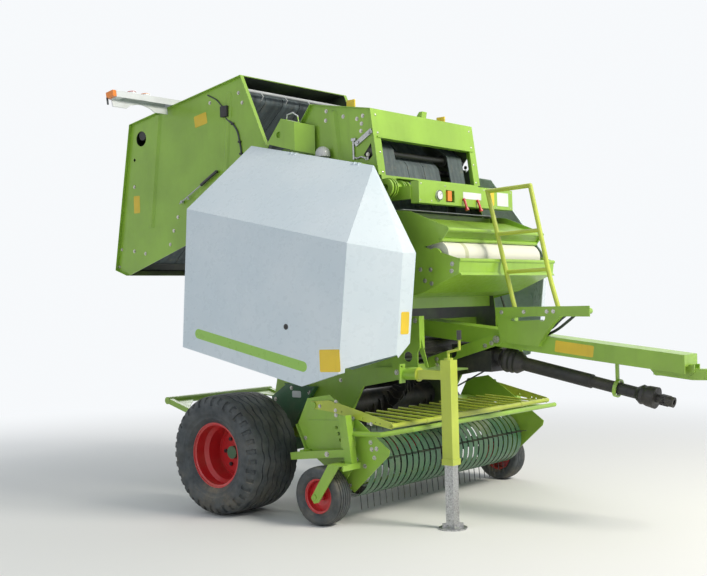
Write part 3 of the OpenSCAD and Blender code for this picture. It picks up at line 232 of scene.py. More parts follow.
# Materials
def paint(name, colour, rough=0.36, dust=0.5, coat=0.25, zones=(), wear=0.5, hollow=None):
    """Sprayed steel with uneven tone, runs, field dust and rubbed edges.

    A zone is a box in another colour. Hollow is the centre of a space whose walls are painted darker: partly
    rubbed paint, partly painted shade.
    """
    mat, tree, shader = new_material(name)
    tone = colour
    if hollow:
        # Inner walls darkened: partly rubbed paint, partly painted shade inside the hollow
        inner = facing_in(tree, hollow)
        cloudy = ramp(tree, noise(tree, 3.0, 6.0), 0.2, 0.6, 0.65, 1.0)
        tone = mix(tree, maths(tree, "MULTIPLY", inner, cloudy), tone, WORN_AND_SHADED_INSIDE)
    for low, high, other in zones:
        tone = mix(tree, inside_box(tree, low, high), tone, other)
    shade = ramp(tree, noise(tree, 2.2, 5.0), 0.3, 0.7, 0.86, 1.08)
    streaks = ramp(tree, noise(tree, 14.0, 4.0, 0.6, (1.0, 1.0, 0.12)), 0.52, 0.8, 1.0, 0.88)
    grey = tree.nodes.new("ShaderNodeCombineColor")
    for socket in grey.inputs[:3]:
        link(tree, maths(tree, "MULTIPLY", shade, streaks), socket)
    tone = mix(tree, 1.0, tone, grey.outputs["Color"], "MULTIPLY")
    if wear:
        pale = tuple(min(1.0, 0.55 * c + 0.25) for c in colour)
        tone = mix(tree, maths(tree, "MULTIPLY", worn_edges(tree), wear), tone, pale)
    tone, mask = dusty(tree, tone, dust, 0.2, 1.7)
    link(tree, tone, shader.inputs["Base Color"])
    scuffs = ramp(tree, noise(tree, 26.0, 6.0, 0.7), 0.35, 0.75, rough - 0.06, rough + 0.14)
    dulled = maths(tree, "ADD", scuffs, maths(tree, "MULTIPLY", mask, 0.3), clamp=True)
    link(tree, dulled, shader.inputs["Roughness"])
    shader.inputs["Coat Weight"].default_value = coat
    shader.inputs["Coat Roughness"].default_value = 0.12
    bump(tree, shader, noise(tree, 240.0, 2.0), 0.08, 0.0008)
    return mat


def bare_steel(name, colour, rough=0.32, rust=0.4):
    mat, tree, shader = new_material(name)
    brushed = noise(tree, 90.0, 4.0, 0.6)
    dark = tuple(c * 0.72 for c in colour)
    bright = tuple(min(1.0, c * 1.2) for c in colour)
    tone = mix(tree, ramp(tree, brushed, 0.3, 0.7), dark, bright)
    stain = ramp(tree, noise(tree, 6.0, 6.0, 0.65), 0.55, 0.82, 0.0, rust)
    tone = mix(tree, stain, tone, RUST)
    link(tree, tone, shader.inputs["Base Color"])
    link(tree, ramp(tree, brushed, 0.25, 0.75, rough - 0.08, rough + 0.16), shader.inputs["Roughness"])
    shader.inputs["Metallic"].default_value = 0.85
    bump(tree, shader, brushed, 0.12, 0.0006)
    return mat


def tyre_rubber(name):
    mat, tree, shader = new_material(name)
    tone = mix(tree, ramp(tree, noise(tree, 9.0, 6.0, 0.6), 0.3, 0.75), RUBBER, RUBBER_PALE)
    tone = dusty(tree, tone, 0.7, -0.1, 0.9)[0]
    link(tree, tone, shader.inputs["Base Color"])
    link(tree, ramp(tree, noise(tree, 30.0, 5.0), 0.3, 0.7, 0.52, 0.76), shader.inputs["Roughness"])
    bump(tree, shader, noise(tree, 180.0, 4.0), 0.25, 0.0012)
    return mat


def belt_rubber(name):
    mat, tree, shader = new_material(name)
    weave = tree.nodes.new("ShaderNodeTexBrick")
    weave.inputs["Scale"].default_value = 60.0
    weave.inputs["Mortar Size"].default_value = 0.03
    place = tree.nodes.new("ShaderNodeMapping")
    place.inputs["Rotation"].default_value = (math.radians(90), 0.0, math.radians(90))
    link(tree, object_place(tree), place.inputs["Vector"])
    link(tree, place.outputs["Vector"], weave.inputs["Vector"])
    wear = ramp(tree, noise(tree, 3.0, 5.0, 0.6, (1.0, 6.0, 1.0)), 0.3, 0.75)
    tone = mix(tree, wear, tuple(c * 0.7 for c in BELT), tuple(c * 1.35 for c in BELT))
    tone = mix(tree, ramp(tree, noise(tree, 22.0, 5.0), 0.55, 0.8, 0.0, 0.25), tone, DUST)
    link(tree, tone, shader.inputs["Base Color"])
    link(tree, ramp(tree, noise(tree, 18.0, 4.0), 0.3, 0.7, 0.5, 0.78), shader.inputs["Roughness"])
    bump(tree, shader, weave.outputs["Fac"], 0.35, 0.0012)
    return mat


def near_line(tree, start, end, radius):
    """1 within a radius of the line between two points, as seen along Y."""
    x, _, z = split_place(tree)
    flat = tree.nodes.new("ShaderNodeCombineXYZ")
    link(tree, x, flat.inputs["X"])
    link(tree, z, flat.inputs["Z"])
    start = Vector((start[0], 0.0, start[1]))
    along = Vector((end[0], 0.0, end[1])) - start
    offset = vector_maths(tree, "SUBTRACT", flat.outputs["Vector"], start)
    reach = vector_maths(tree, "DOT_PRODUCT", offset, along)
    share = maths(tree, "DIVIDE", reach, along.length_squared, clamp=True)
    near = tree.nodes.new("ShaderNodeVectorMath")
    near.operation = "SCALE"
    near.inputs[0].default_value = along
    link(tree, share, near.inputs["Scale"])
    apart = vector_maths(tree, "LENGTH", vector_maths(tree, "SUBTRACT", offset, near.outputs["Vector"]))
    return ramp(tree, apart, radius - 0.0005, radius + 0.0005, 1.0, 0.0)


def hood_shell(name):
    """Gloss shell with the green stripe with round ends, and grime that gathers low down."""
    mat, tree, shader = new_material(name)
    _, y, z = split_place(tree)
    on_face = maths(tree, "GREATER_THAN", maths(tree, "ABSOLUTE", y), HOOD_Y - 0.0045)
    mask = maths(tree, "MULTIPLY", near_line(tree, *STRIPE_LINE, STRIPE_HALF), on_face)
    tone = mix(tree, ramp(tree, noise(tree, 1.6, 4.0), 0.3, 0.7), SHELL, SHELL_PALE)
    tone = mix(tree, mask, tone, STRIPE)
    grime = ramp(tree, noise(tree, 7.0, 6.0, 0.65, (1.0, 1.0, 0.3)), 0.52, 0.85, 0.0, 0.08)
    low_down = ramp(tree, z, 0.95, 1.5, 1.0, 0.25)
    tone = mix(tree, maths(tree, "MULTIPLY", grime, low_down), tone, DUST)
    link(tree, tone, shader.inputs["Base Color"])
    link(tree, ramp(tree, noise(tree, 20.0, 5.0), 0.3, 0.7, 0.24, 0.38), shader.inputs["Roughness"])
    shader.inputs["Coat Weight"].default_value = 0.35
    shader.inputs["Coat Roughness"].default_value = 0.08
    bump(tree, shader, noise(tree, 6.0, 2.0), 0.05, 0.004)
    return mat


def net_film(name):
    mat, tree, shader = new_material(name)
    wave = tree.nodes.new("ShaderNodeTexWave")
    wave.bands_direction = "Y"
    wave.inputs["Scale"].default_value = 45.0
    wave.inputs["Distortion"].default_value = 1.5
    link(tree, object_place(tree), wave.inputs["Vector"])
    tone = mix(tree, ramp(tree, wave.outputs["Fac"], 0.2, 0.8), tuple(c * 0.9 for c in FILM), FILM)
    seam = inside_box(tree, *SEAM_BOX)
    tone = mix(tree, maths(tree, "MULTIPLY", seam, 0.5), tone, FILM_SEAM)
    link(tree, tone, shader.inputs["Base Color"])
    link(tree, ramp(tree, noise(tree, 25.0), 0.3, 0.7, 0.4, 0.6), shader.inputs["Roughness"])
    bump(tree, shader, wave.outputs["Fac"], 0.3, 0.0010)
    return mat


def lens(name, colour):
    mat, tree, shader = new_material(name)
    ribs = tree.nodes.new("ShaderNodeTexWave")
    ribs.inputs["Scale"].default_value = 90.0
    link(tree, object_place(tree), ribs.inputs["Vector"])
    tone = mix(tree, ramp(tree, ribs.outputs["Fac"], 0.1, 0.9), tuple(c * 0.7 for c in colour), colour)
    link(tree, tone, shader.inputs["Base Color"])
    link(tree, ramp(tree, noise(tree, 40.0), 0.3, 0.7, 0.12, 0.24), shader.inputs["Roughness"])
    shader.inputs["Coat Weight"].default_value = 0.6
    bump(tree, shader, ribs.outputs["Fac"], 0.3, 0.0008)
    return mat


def mirrored_zones(zones):
    """The same boxes on both sides of the machine."""
    return [*zones, *[((a[0], -b[1], a[2]), (b[0], -a[1], b[2]), c) for a, b, c in zones]]


# Boxes in another colour inside a painted node: two corners and the colour
PANEL_ZONES = [
    ((PANEL_X, -0.406, 2.212), (PANEL_X + 0.02, -0.336, 2.282), PLATE_WHITE),
    ((PANEL_X - 0.040, -0.271, 2.211), (PANEL_X + 0.015, -0.222, 2.285), AMBER),
    ((PANEL_X - 0.040, -0.280, 2.202), (PANEL_X - 0.021, -0.164, 2.294), BLACK),
    ((PANEL_X + 0.0005, -0.062, 2.239), (PANEL_X + 0.003, 0.180, 2.291), PLATE_WHITE),
    ((PANEL_X + 0.0005, 0.396, 2.209), (PANEL_X + 0.003, 0.558, 2.313), PLATE_WHITE),
    ((PANEL_X + 0.003, -0.084, 2.130), (PANEL_X + 0.06, -0.044, 2.246), RED),
    ((PANEL_X + 0.003, 0.098, 2.130), (PANEL_X + 0.06, 0.138, 2.246), RED),
]
LAMP_ZONES = mirrored_zones([((-1.30, 1.2205, 3.10), (-1.05, 1.30, 3.40), AMBER)])
NUT_ZONE = [((-0.125, 1.0928, AXLE_Z - 0.125), (0.125, 1.110, AXLE_Z + 0.125), BLACK)]
GRIP_ZONE = [((1.78, -0.85, 1.245), (1.84, -0.79, 1.315), BLACK)]
OIL_ZONES = [
    ((0.4925, -0.760, 2.555), (0.620, -0.615, 2.670), DOME_GREY),
    ((0.205, -0.706, 2.8975), (0.350, -0.690, 2.960), STRUT_GREY),
]
GATE_ZONES = [((-0.350, -0.600, 3.120), (-0.280, 0.600, 3.225), BAR_GREY)] + mirrored_zones([
    ((-0.803, -0.675, 2.475), (-0.603, -0.6325, 2.600), BLACK),
    ((-1.085, -0.675, 2.340), (-0.803, -0.6325, 2.500), STRUT_GREY),
])

leaf_paint = paint("leaf_paint", LEAF)
panel_paint = paint("panel_paint", LEAF, zones=PANEL_ZONES)
# Chamber and tailgate walls are darkened inside: rubbed paint and painted shade
chamber_paint = paint("chamber_paint", LEAF, hollow=(0.40, 0.0, 1.80))
gate_paint = paint("gate_paint", LEAF, zones=GATE_ZONES, hollow=(-0.95, 0.0, 2.50))
oil_paint = paint("oil_paint", LEAF, zones=OIL_ZONES)
# Leaf paint lightened and yellowed as painted sunlight on the guard rail, wind guard and jack
lime_paint = paint("lime_paint", LEAF_SUNLIT, zones=GRIP_ZONE)
deep_paint = paint("deep_paint", DEEP, rough=0.45, dust=0.55)
red_paint = paint("red_paint", RED, rough=0.38, dust=0.5, zones=mirrored_zones(NUT_ZONE))
black_paint = paint("black_paint", BLACK, rough=0.5, dust=0.6, coat=0.05)
black_plastic = paint("black_plastic", PLASTIC, rough=0.55, dust=0.35, coat=0.0, wear=0.0)
lamp_white = paint("lamp_white", BAR_WHITE, rough=0.35, dust=0.1, zones=LAMP_ZONES, wear=0.2)
plate_white = paint("plate_white", PLATE_WHITE, rough=0.45, dust=0.3, wear=0.2)
plate_yellow = paint("plate_yellow", PLATE_YELLOW, rough=0.45, dust=0.3, wear=0.2)
bright_steel = bare_steel("bright_steel", STEEL)
zinc_steel = bare_steel("zinc_steel", ZINC, rough=0.28, rust=0.2)
dark_steel = bare_steel("dark_steel", STEEL_DARK, rough=0.42, rust=0.5)
tyre_black = tyre_rubber("tyre_black")
hose_black = tyre_rubber("hose_black")
belt_grey = belt_rubber("belt_grey")
shell_white = hood_shell("shell_white")
film_white = net_film("film_white")
amber_lens = lens("amber_lens", AMBER)
red_lens = lens("red_lens", LENS_RED)

NODE_FINISH = {
    leaf_paint: "front_panel net_box front_frame drawbar pickup_frame bale_ramp",
    chamber_paint: "chamber_sides",
    gate_paint: "tailgate",
    oil_paint: "oil_box",
    panel_paint: "control_panel",
    lime_paint: "guard_rail wind_guard jack_body jack_crank",
    deep_paint: "axle pickup_bands",
    black_paint: "front_rollers gearbox reel feed_rotor tailgate_rollers barrel_r barrel_l",
    dark_steel: "drive",
    black_plastic: "pto_shaft",
    bright_steel: "latches net_guides rod_r rod_l jack_leg",
    tyre_black: "tyre_r tyre_l gauge_tyre_r gauge_tyre_l",
    red_paint: "wheel_r wheel_l gauge_wheel_r gauge_wheel_l",
    belt_grey: "front_belts tailgate_belts",
    shell_white: "hood_r hood_l",
    lamp_white: "light_bar",
    film_white: "net_roll",
}
for finish, names in NODE_FINISH.items():
    for name in names.split():
        slots = NODES[name].material_slots
        for slot in slots:
            slot.material = finish
        if not slots:
            NODES[name].data.materials.append(finish)


# Mesh helpers
def add_piece(mesh, name, body, finish, replaced=()):
    """A finished mesh as a piece that rides on a body; sharp edges stay sharp."""
    mesh.materials.clear()
    mesh.materials.append(finish)
    mesh.polygons.foreach_set("use_smooth", [True] * len(mesh.polygons))
    mesh.set_sharp_from_angle(angle=math.radians(32))
    piece = bpy.data.objects.new(name, mesh)
    bpy.context.collection.objects.link(piece)
    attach(piece, body)
    if replaced:
        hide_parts(*replaced)


def closed_mesh(name, points, faces):
    mesh = bpy.data.meshes.new(name)
    mesh.from_pydata([tuple(p) for p in points], [], faces)
    shape = bmesh.new()
    shape.from_mesh(mesh)
    bmesh.ops.remove_doubles(shape, verts=shape.verts, dist=1e-6)
    bmesh.ops.recalc_face_normals(shape, faces=shape.faces)
    shape.to_mesh(mesh)
    shape.free()
    return mesh


def grid_faces(rows, columns):
    """Quads of a grid that closes on itself both ways."""
    faces = []
    for i in range(rows):
        for j in range(columns):
            a, b = i * columns, ((i + 1) % rows) * columns
            k = (j + 1) % columns
            faces.append((a + j, a + k, b + k, b + j))
    return faces


# Tyres
LUGS = 36
LUG_STEPS = (0.0, 0.2, 0.4, 0.52, 0.58, 0.76, 0.94)
MAIN_RADIUS = 0.4330

# Side notches: the share of a lug they start at, how far they cut in and down, and where they fade out
NOTCH_FROM = 0.55
NOTCH_IN = 0.0105
NOTCH_DOWN = 0.0150
NOTCH_FADE = 0.060

# Shape of a groove across its width, as shares of its half width and depth
GROOVE = ((-1.0, 0.0), (-0.55, 1.0), (0.55, 1.0), (1.0, 0.0))

# Each sidewall as distance across, radius and a kind: notches cut 1 and 2 at every lug, 3 at every second
MAIN_SIDE = [
    (0.2030, 0.2348, 0), (0.2120, 0.2430, 0), (0.2260, 0.2600, 0), (0.2310, 0.2680, 0), (0.2300, 0.2770, 0),
    (0.2380, 0.2980, 0), (0.2400, 0.3000, 0), (0.2425, 0.3200, 0), (0.2452, 0.3420, 0), (0.2435, 0.3470, 0),
    (0.2450, 0.3560, 0), (0.2448, 0.3660, 3), (0.2425, 0.3760, 3), (0.2380, 0.3900, 2), (0.2290, 0.4040, 2),
    (0.2270, 0.4060, 1), (0.2180, 0.4140, 1), (0.2060, 0.4200, 1), (0.2040, 0.4208, 0), (0.1960, 0.4240, 0),
]
GAUGE_SIDE = [
    (0.0550, 0.1182, 0), (0.0620, 0.1250, 0), (0.0690, 0.1330, 0), (0.0710, 0.1380, 0), (0.0700, 0.1430, 0),
    (0.0740, 0.1560, 0), (0.0749, 0.1640, 0), (0.0740, 0.1760, 0), (0.0700, 0.1860, 0), (0.0640, 0.1920, 0),
]


def zigzag(turns):
    """A stepped wave from -1 to 1 over each whole turn."""
    share = turns % 1.0
    return max(-1.0, min(1.0, 5.0 * abs(2.0 * share - 1.0) - 2.5))


def tyre_ring(side, crown, grooves, wave, lug, step):
    """One ring of points across the tyre, as distance across and radius."""
    in_notch = LUG_STEPS[step] > NOTCH_FROM
    half = []
    for across, radius, kind in side:
        reach = kind in (1, 2) or (kind == 3 and lug % 2 == 0)
        if in_notch and reach:
            slope = min(1.0, (MAIN_RADIUS - radius) / NOTCH_FADE)
            across -= NOTCH_IN * slope
            radius -= NOTCH_DOWN * (1.0 - 0.6 * slope)
        half.append((across, radius))
    ring = [(-a, r) for a, r in half]
    flat, top, drop = crown
    for index, (place, half_width, depth) in enumerate(grooves):
        shift = wave * zigzag((lug + LUG_STEPS[step]) / 2.0 + 0.21 * index)
        for spread, sink in GROOVE:
            across = place + shift + spread * half_width
            ring.append((across, top - drop * (across / flat) ** 2 - sink * depth))
    return ring + [(a, r) for a, r in reversed(half)]


def tyre(name, body, node, centre, side, crown, grooves, wave=0.0):
    """A tyre as a closed grid of rings turned about the axle; its tread is cut in to it."""
    points = []
    for lug in range(LUGS):
        for step, share in enumerate(LUG_STEPS):
            angle = 2.0 * math.pi * (lug + share) / LUGS
            for across, radius in tyre_ring(side, crown, grooves, wave, lug, step):
                points.append((
                    centre[0] + radius * math.cos(angle),
                    centre[1] + across,
                    centre[2] + radius * math.sin(angle),
                ))
    rings = LUGS * len(LUG_STEPS)
    mesh = closed_mesh(name, points, grid_faces(rings, len(points) // rings))
    add_piece(mesh, name, body, tyre_black, (node,))


# Crown: half width, middle radius and drop to the shoulder. Groove: place, half width and depth
MAIN_CROWN = (0.1960, MAIN_RADIUS, 0.0078)
MAIN_WAVE = 0.0065
MAIN_GROOVES = [(-0.1440 + 0.0576 * k, 0.0062, 0.0105) for k in range(6)]
GAUGE_CROWN = (0.0640, 0.1996, 0.0050)
GAUGE_GROOVES = [(-0.0440 + 0.0220 * k, 0.0034, 0.0055) for k in range(5)]
for tag, sign in SIDES:
    tyre(
        "main_tyre_" + tag, "main_wheel_" + tag, "tyre_" + tag,
        (0.0, sign * TRACK, AXLE_Z), MAIN_SIDE, MAIN_CROWN, MAIN_GROOVES, MAIN_WAVE,
    )
    tyre(
        "pickup_tyre_" + tag, "gauge_wheel_" + tag, "gauge_tyre_" + tag,
        (GAUGE[0], sign * GAUGE[1], GAUGE[2]), GAUGE_SIDE, GAUGE_CROWN, GAUGE_GROOVES,
    )


# Geometry Nodes: one small shape repeated at points that carry a facing and a size
def add_node(tree, kind, inputs=(), **settings):
    node = tree.nodes.new(kind)
    for key, value in settings.items():
        setattr(node, key, value)
    for key, value in dict(inputs).items():
        if isinstance(value, bpy.types.NodeSocket):
            tree.links.new(value, node.inputs[key])
        else:
            node.inputs[key].default_value = value
    return node


def named_input(tree, name, kind, value):
    socket = tree.interface.new_socket(name, in_out="INPUT", socket_type=kind)
    socket.default_value = value


def attribute(tree, name, kind):
    node = add_node(tree, "GeometryNodeInputNamedAttribute", data_type=kind)
    node.inputs["Name"].default_value = name
    return node.outputs["Attribute"]


def repeat_tree(name, make_shape, sizes, axis):
    """A tree that puts make_shape at each point, turned to its facing and scaled to its size."""
    tree = bpy.data.node_groups.new(name, "GeometryNodeTree")
    tree.interface.new_socket("Points", in_out="INPUT", socket_type="NodeSocketGeometry")
    for label, value in sizes.items():
        named_input(tree, label, "NodeSocketFloat", value)
    tree.interface.new_socket("Finish", in_out="INPUT", socket_type="NodeSocketMaterial")
    tree.interface.new_socket("Result", in_out="OUTPUT", socket_type="NodeSocketGeometry")
    start = tree.nodes.new("NodeGroupInput")
    end = tree.nodes.new("NodeGroupOutput")
    facing = attribute(tree, "facing", "FLOAT_VECTOR")
    turn = add_node(tree, "FunctionNodeAlignRotationToVector", {"Vector": facing}, axis=axis)
    places = add_node(tree, "GeometryNodeInstanceOnPoints", {
        "Points": start.outputs["Points"],
        "Instance": make_shape(tree, start),
        "Rotation": turn.outputs["Rotation"],
        "Scale": attribute(tree, "size", "FLOAT_VECTOR"),
    })
    solid = add_node(tree, "GeometryNodeRealizeInstances", {"Geometry": places.outputs["Instances"]})
    done = add_node(tree, "GeometryNodeSetMaterial", {
        "Geometry": solid.outputs["Geometry"],
        "Material": start.outputs["Finish"],
    })
    tree.links.new(done.outputs["Geometry"], end.inputs["Result"])
    return tree


def times(tree, value, factor):
    return add_node(tree, "ShaderNodeMath", {0: value, 1: factor}, operation="MULTIPLY").outputs["Value"]


def moved(tree, shape, **place):
    """The mesh of a shape node, moved by X, Y or Z."""
    vector = add_node(tree, "ShaderNodeCombineXYZ", place)
    node = add_node(tree, "GeometryNodeTransform", {
        "Geometry": shape.outputs["Mesh"],
        "Translation": vector.outputs["Vector"],
    })
    return node.outputs["Geometry"]


def drum(tree, sides, radius, height):
    """A short cylinder that stands on its point."""
    lift = times(tree, height, 0.5)
    size = {"Vertices": sides, "Radius": radius, "Depth": height}
    return moved(tree, add_node(tree, "GeometryNodeMeshCylinder", size), Z=lift)


def hex_bolt(tree, start):
    """Six-sided head on a washer, with the end of its thread."""
    radius, height = start.outputs["Head radius"], start.outputs["Head height"]
    join = tree.nodes.new("GeometryNodeJoinGeometry")
    for part in (
        drum(tree, 20, times(tree, radius, 1.45), times(tree, height, 0.22)),
        drum(tree, 6, radius, height),
        drum(tree, 12, times(tree, radius, 0.5), times(tree, height, 1.1)),
    ):
        tree.links.new(part, join.inputs["Geometry"])
    return join.outputs["Geometry"]


def round_rivet(tree, start):
    """Low domed head."""
    radius, height = start.outputs["Head radius"], start.outputs["Head height"]
    dome = add_node(tree, "GeometryNodeMeshUVSphere", {"Segments": 14, "Rings": 8, "Radius": radius})
    low = add_node(tree, "ShaderNodeMath", {0: height, 1: radius}, operation="DIVIDE")
    scale = add_node(tree, "ShaderNodeCombineXYZ", {"X": 1.0, "Y": 1.0, "Z": low.outputs["Value"]})
    squashed = add_node(tree, "GeometryNodeTransform", {
        "Geometry": dome.outputs["Mesh"],
        "Scale": scale.outputs["Vector"],
    })
    return squashed.outputs["Geometry"]


def tine_coil(tree, start):
    """Spring coil about the bar that holds a pair of tines."""
    radius = start.outputs["Coil radius"]
    turns = add_node(tree, "GeometryNodeCurveSpiral", {
        "Resolution": 14,
        "Rotations": 4.0,
        "Start Radius": radius,
        "End Radius": radius,
        "Height": start.outputs["Coil length"],
    })
    wire_size = {"Resolution": 6, "Radius": start.outputs["Wire radius"]}
    wire = add_node(tree, "GeometryNodeCurvePrimitiveCircle", wire_size)
    coil = add_node(tree, "GeometryNodeCurveToMesh", {
        "Curve": turns.outputs["Curve"],
        "Profile Curve": wire.outputs["Curve"],
        "Fill Caps": True,
    })
    return coil.outputs["Mesh"]


def chain_link(tree, start):
    """Two side plates and the pin between them."""
    length, width = start.outputs["Link length"], start.outputs["Chain width"]
    join = tree.nodes.new("GeometryNodeJoinGeometry")
    tall = times(tree, length, 0.5)
    for side in (-0.5, 0.5):
        size = add_node(tree, "ShaderNodeCombineXYZ", {"X": length, "Y": LINK_PLATE, "Z": tall})
        cheek = add_node(tree, "GeometryNodeMeshCube", {"Size": size.outputs["Vector"]})
        tree.links.new(moved(tree, cheek, Y=times(tree, width, side)), join.inputs["Geometry"])
    reach = add_node(tree, "ShaderNodeMath", {0: width, 1: PIN_SPARE}, operation="ADD")
    pin = add_node(tree, "GeometryNodeMeshCylinder", {
        "Vertices": 10,
        "Radius": times(tree, length, 0.2),
        "Depth": reach.outputs["Value"],
    })
    laid = add_node(tree, "GeometryNodeTransform", {"Geometry": pin.outputs["Mesh"]})
    laid.inputs["Rotation"].default_value = (math.radians(90), 0.0, 0.0)
    tree.links.new(laid.outputs["Geometry"], join.inputs["Geometry"])
    return join.outputs["Geometry"]


LINK_LENGTH = 0.019
LINK_PLATE = 0.0016
PIN_SPARE = 0.004
HEX_SIZES = {"Head radius": 0.011, "Head height": 0.008}
RIVET_SIZES = {"Head radius": 0.009, "Head height": 0.005}
COIL_SIZES = {"Coil radius": 0.0215, "Coil length": 0.026, "Wire radius": 0.0028}
LINK_SIZES = {"Link length": LINK_LENGTH, "Chain width": 0.0135}
hex_tree = repeat_tree("hex_bolts", hex_bolt, HEX_SIZES, "Z")
rivet_tree = repeat_tree("round_rivets", round_rivet, RIVET_SIZES, "Z")
coil_tree = repeat_tree("tine_coils", tine_coil, COIL_SIZES, "Z")
link_tree = repeat_tree("chain_links", chain_link, LINK_SIZES, "X")


def repeated(name, body, tree, finish, places):
    """Run a repeat tree on the places, each a point, its facing and a scale, and keep the plain mesh."""
    cloud = bpy.data.meshes.new(name + "_places")
    cloud.from_pydata([tuple(p) for p, facing, scale in places], [], [])
    facing = cloud.attributes.new("facing", "FLOAT_VECTOR", "POINT")
    facing.data.foreach_set("vector", [c for p, f, s in places for c in f])
    size = cloud.attributes.new("size", "FLOAT_VECTOR", "POINT")
    size.data.foreach_set("vector", [s for p, f, s in places for c in range(3)])
    holder = bpy.data.objects.new(name + "_holder", cloud)
    bpy.context.collection.objects.link(holder)
    modifier = holder.modifiers.new("repeat", "NODES")
    modifier.node_group = tree
    for item in tree.interface.items_tree:
        if item.item_type == "SOCKET" and item.in_out == "INPUT" and item.name == "Finish":
            modifier[item.identifier] = finish
    graph = bpy.context.evaluated_depsgraph_get()
    mesh = bpy.data.meshes.new_from_object(holder.evaluated_get(graph))
    bpy.data.objects.remove(holder)
    for layer in [a for a in mesh.attributes if a.name in ("facing", "size")]:
        mesh.attributes.remove(layer)
    mesh.name = name
    add_piece(mesh, name, body, finish)


def on_side(points, y, scale=1.0):
    """The same X-Z places on both sides of the machine, facing outwards."""
    return [((x, s * y, z), (0.0, s, 0.0), scale) for x, z in points for s in (-1.0, 1.0)]


# Bolts and rivets, as places on X and Z, or on Y and Z for the panel's screws
SIDE_BOLTS = [
    (0.546, 2.919), (0.708, 2.860), (0.837, 2.827), (0.892, 2.842), (0.879, 2.787), (0.872, 2.735),
    (0.539, 2.851), (0.930, 2.560), (0.700, 2.500), (0.820, 2.200), (0.760, 1.860), (0.560, 1.150),
    (0.900, 1.240), (0.300, 1.080), (0.180, 0.820), (0.620, 0.940), (0.860, 1.080),
]
GATE_BOLTS = [
    (-1.866, 2.018), (-1.696, 1.995), (-1.905, 1.868), (-1.548, 1.968), (-1.224, 2.030), (-1.121, 2.253),
    (-1.175, 2.142), (-1.675, 2.551), (-0.368, 3.185), (-0.330, 3.103), (-0.700, 3.150), (-0.850, 2.300),
]
TRAY_BOLTS = [(1.374, 1.719), (1.460, 1.715), (1.639, 1.748), (1.633, 1.700), (1.410, 1.641), (1.465, 1.621)]
POST_BOLTS = [(1.200, 1.370), (1.330, 1.370), (1.160, 1.010), (1.320, 1.010), (1.240, 1.250)]
PICKUP_BOLTS = [
    (0.903, 0.824), (0.900, 0.735), (1.199, 0.565), (1.074, 0.440), (1.145, 0.402), (1.249, 0.525),
    (1.207, 0.519), (1.229, 0.463), (0.690, 0.800), (0.610, 0.560), (0.760, 0.330), (1.010, 0.262),
]
GUARD_BOLTS = [(0.903, 0.768), (1.060, 0.720), (1.215, 0.690), (0.760, 0.790)]
PANEL_SCREWS = [
    (-0.575, 2.318), (-0.283, 2.318), (0.220, 2.318), (-0.585, 2.203), (-0.452, 2.203), (0.385, 2.196),
    (0.590, 2.200), (0.590, 2.318), (0.385, 2.326),
]
BEAM_BOLTS = [(1.600, 1.192), (1.545, 1.172), (1.120, 1.070), (1.120, 1.030)]
BRACE_BOLT = [(1.646, 1.218)]
AXLE_BOLTS = [(0.330, 0.840), (0.300, 0.700), (0.080, 0.560), (-0.020, 0.780), (0.150, 0.870)]
FORK_BOLT = [(0.899, 0.478)]
HOLDER_BOLTS_X = (1.720, 1.900, 2.080, 2.130)
FRONT_RIVETS = [(0.9868, 2.840), (1.0047, 2.710), (1.0240, 2.570), (1.0437, 2.426)]
FRONT_RIVET_Y = 0.596
FRONT_FACING = (0.991, 0.0, 0.136)

chassis_hex = on_side(SIDE_BOLTS, SIDE_Y, 0.95)
chassis_hex += on_side(TRAY_BOLTS, SIDE_Y + 0.008)
chassis_hex += on_side(POST_BOLTS, SIDE_Y + 0.028, 1.2)
chassis_hex += on_side(BEAM_BOLTS, 0.110, 1.1)
chassis_hex += on_side(BRACE_BOLT, 0.120, 1.7)
chassis_hex += [((x, -0.158, 1.410), (0.0, -1.0, 0.0), 0.9) for x in HOLDER_BOLTS_X]
chassis_hex += on_side(AXLE_BOLTS, SIDE_Y + 0.025)
repeated("frame_bolts", "chassis", hex_tree, zinc_steel, chassis_hex)
chassis_rivets = [((PANEL_X, y, z), (1.0, 0.0, 0.0), 0.75) for y, z in PANEL_SCREWS]
chassis_rivets += [((x, s * FRONT_RIVET_Y, z), FRONT_FACING, 1.0) for x, z in FRONT_RIVETS for s in (-1, 1)]
repeated("frame_rivets", "chassis", rivet_tree, zinc_steel, chassis_rivets)
repeated("gate_bolts", "tailgate", hex_tree, zinc_steel, on_side(GATE_BOLTS, SIDE_Y, 0.95))
pickup_hex = on_side(PICKUP_BOLTS, PICKUP_Y) + on_side(FORK_BOLT, 1.111, 1.2)
repeated("pickup_bolts", "pickup", hex_tree, zinc_steel, pickup_hex)
repeated("guard_bolts", "wind_guard", hex_tree, zinc_steel, on_side(GUARD_BOLTS, PICKUP_Y + 0.0085, 0.85))

# Spring coils on the reel's bars
TINE_BARS = 4
BAR_TURN = 20.0
BAR_RADIUS = 0.165
TINE_PITCH = 0.070
coil_places = []
for bar in range(TINE_BARS):
    angle = math.radians(360.0 / TINE_BARS * bar + BAR_TURN)
    x = REEL[0] + BAR_RADIUS * math.cos(angle)
    z = REEL[1] + BAR_RADIUS * math.sin(angle)
    for i in range(-13, 14, 2):
        coil_places.append(((x, i * TINE_PITCH + 0.001, z), (0.0, 1.0, 0.0), 1.0))
repeated("tine_coils", "tined_reel", coil_tree, dark_steel, coil_places)


# Chains as links along the line round each pair of toothed wheels
ARC_STEPS = 40


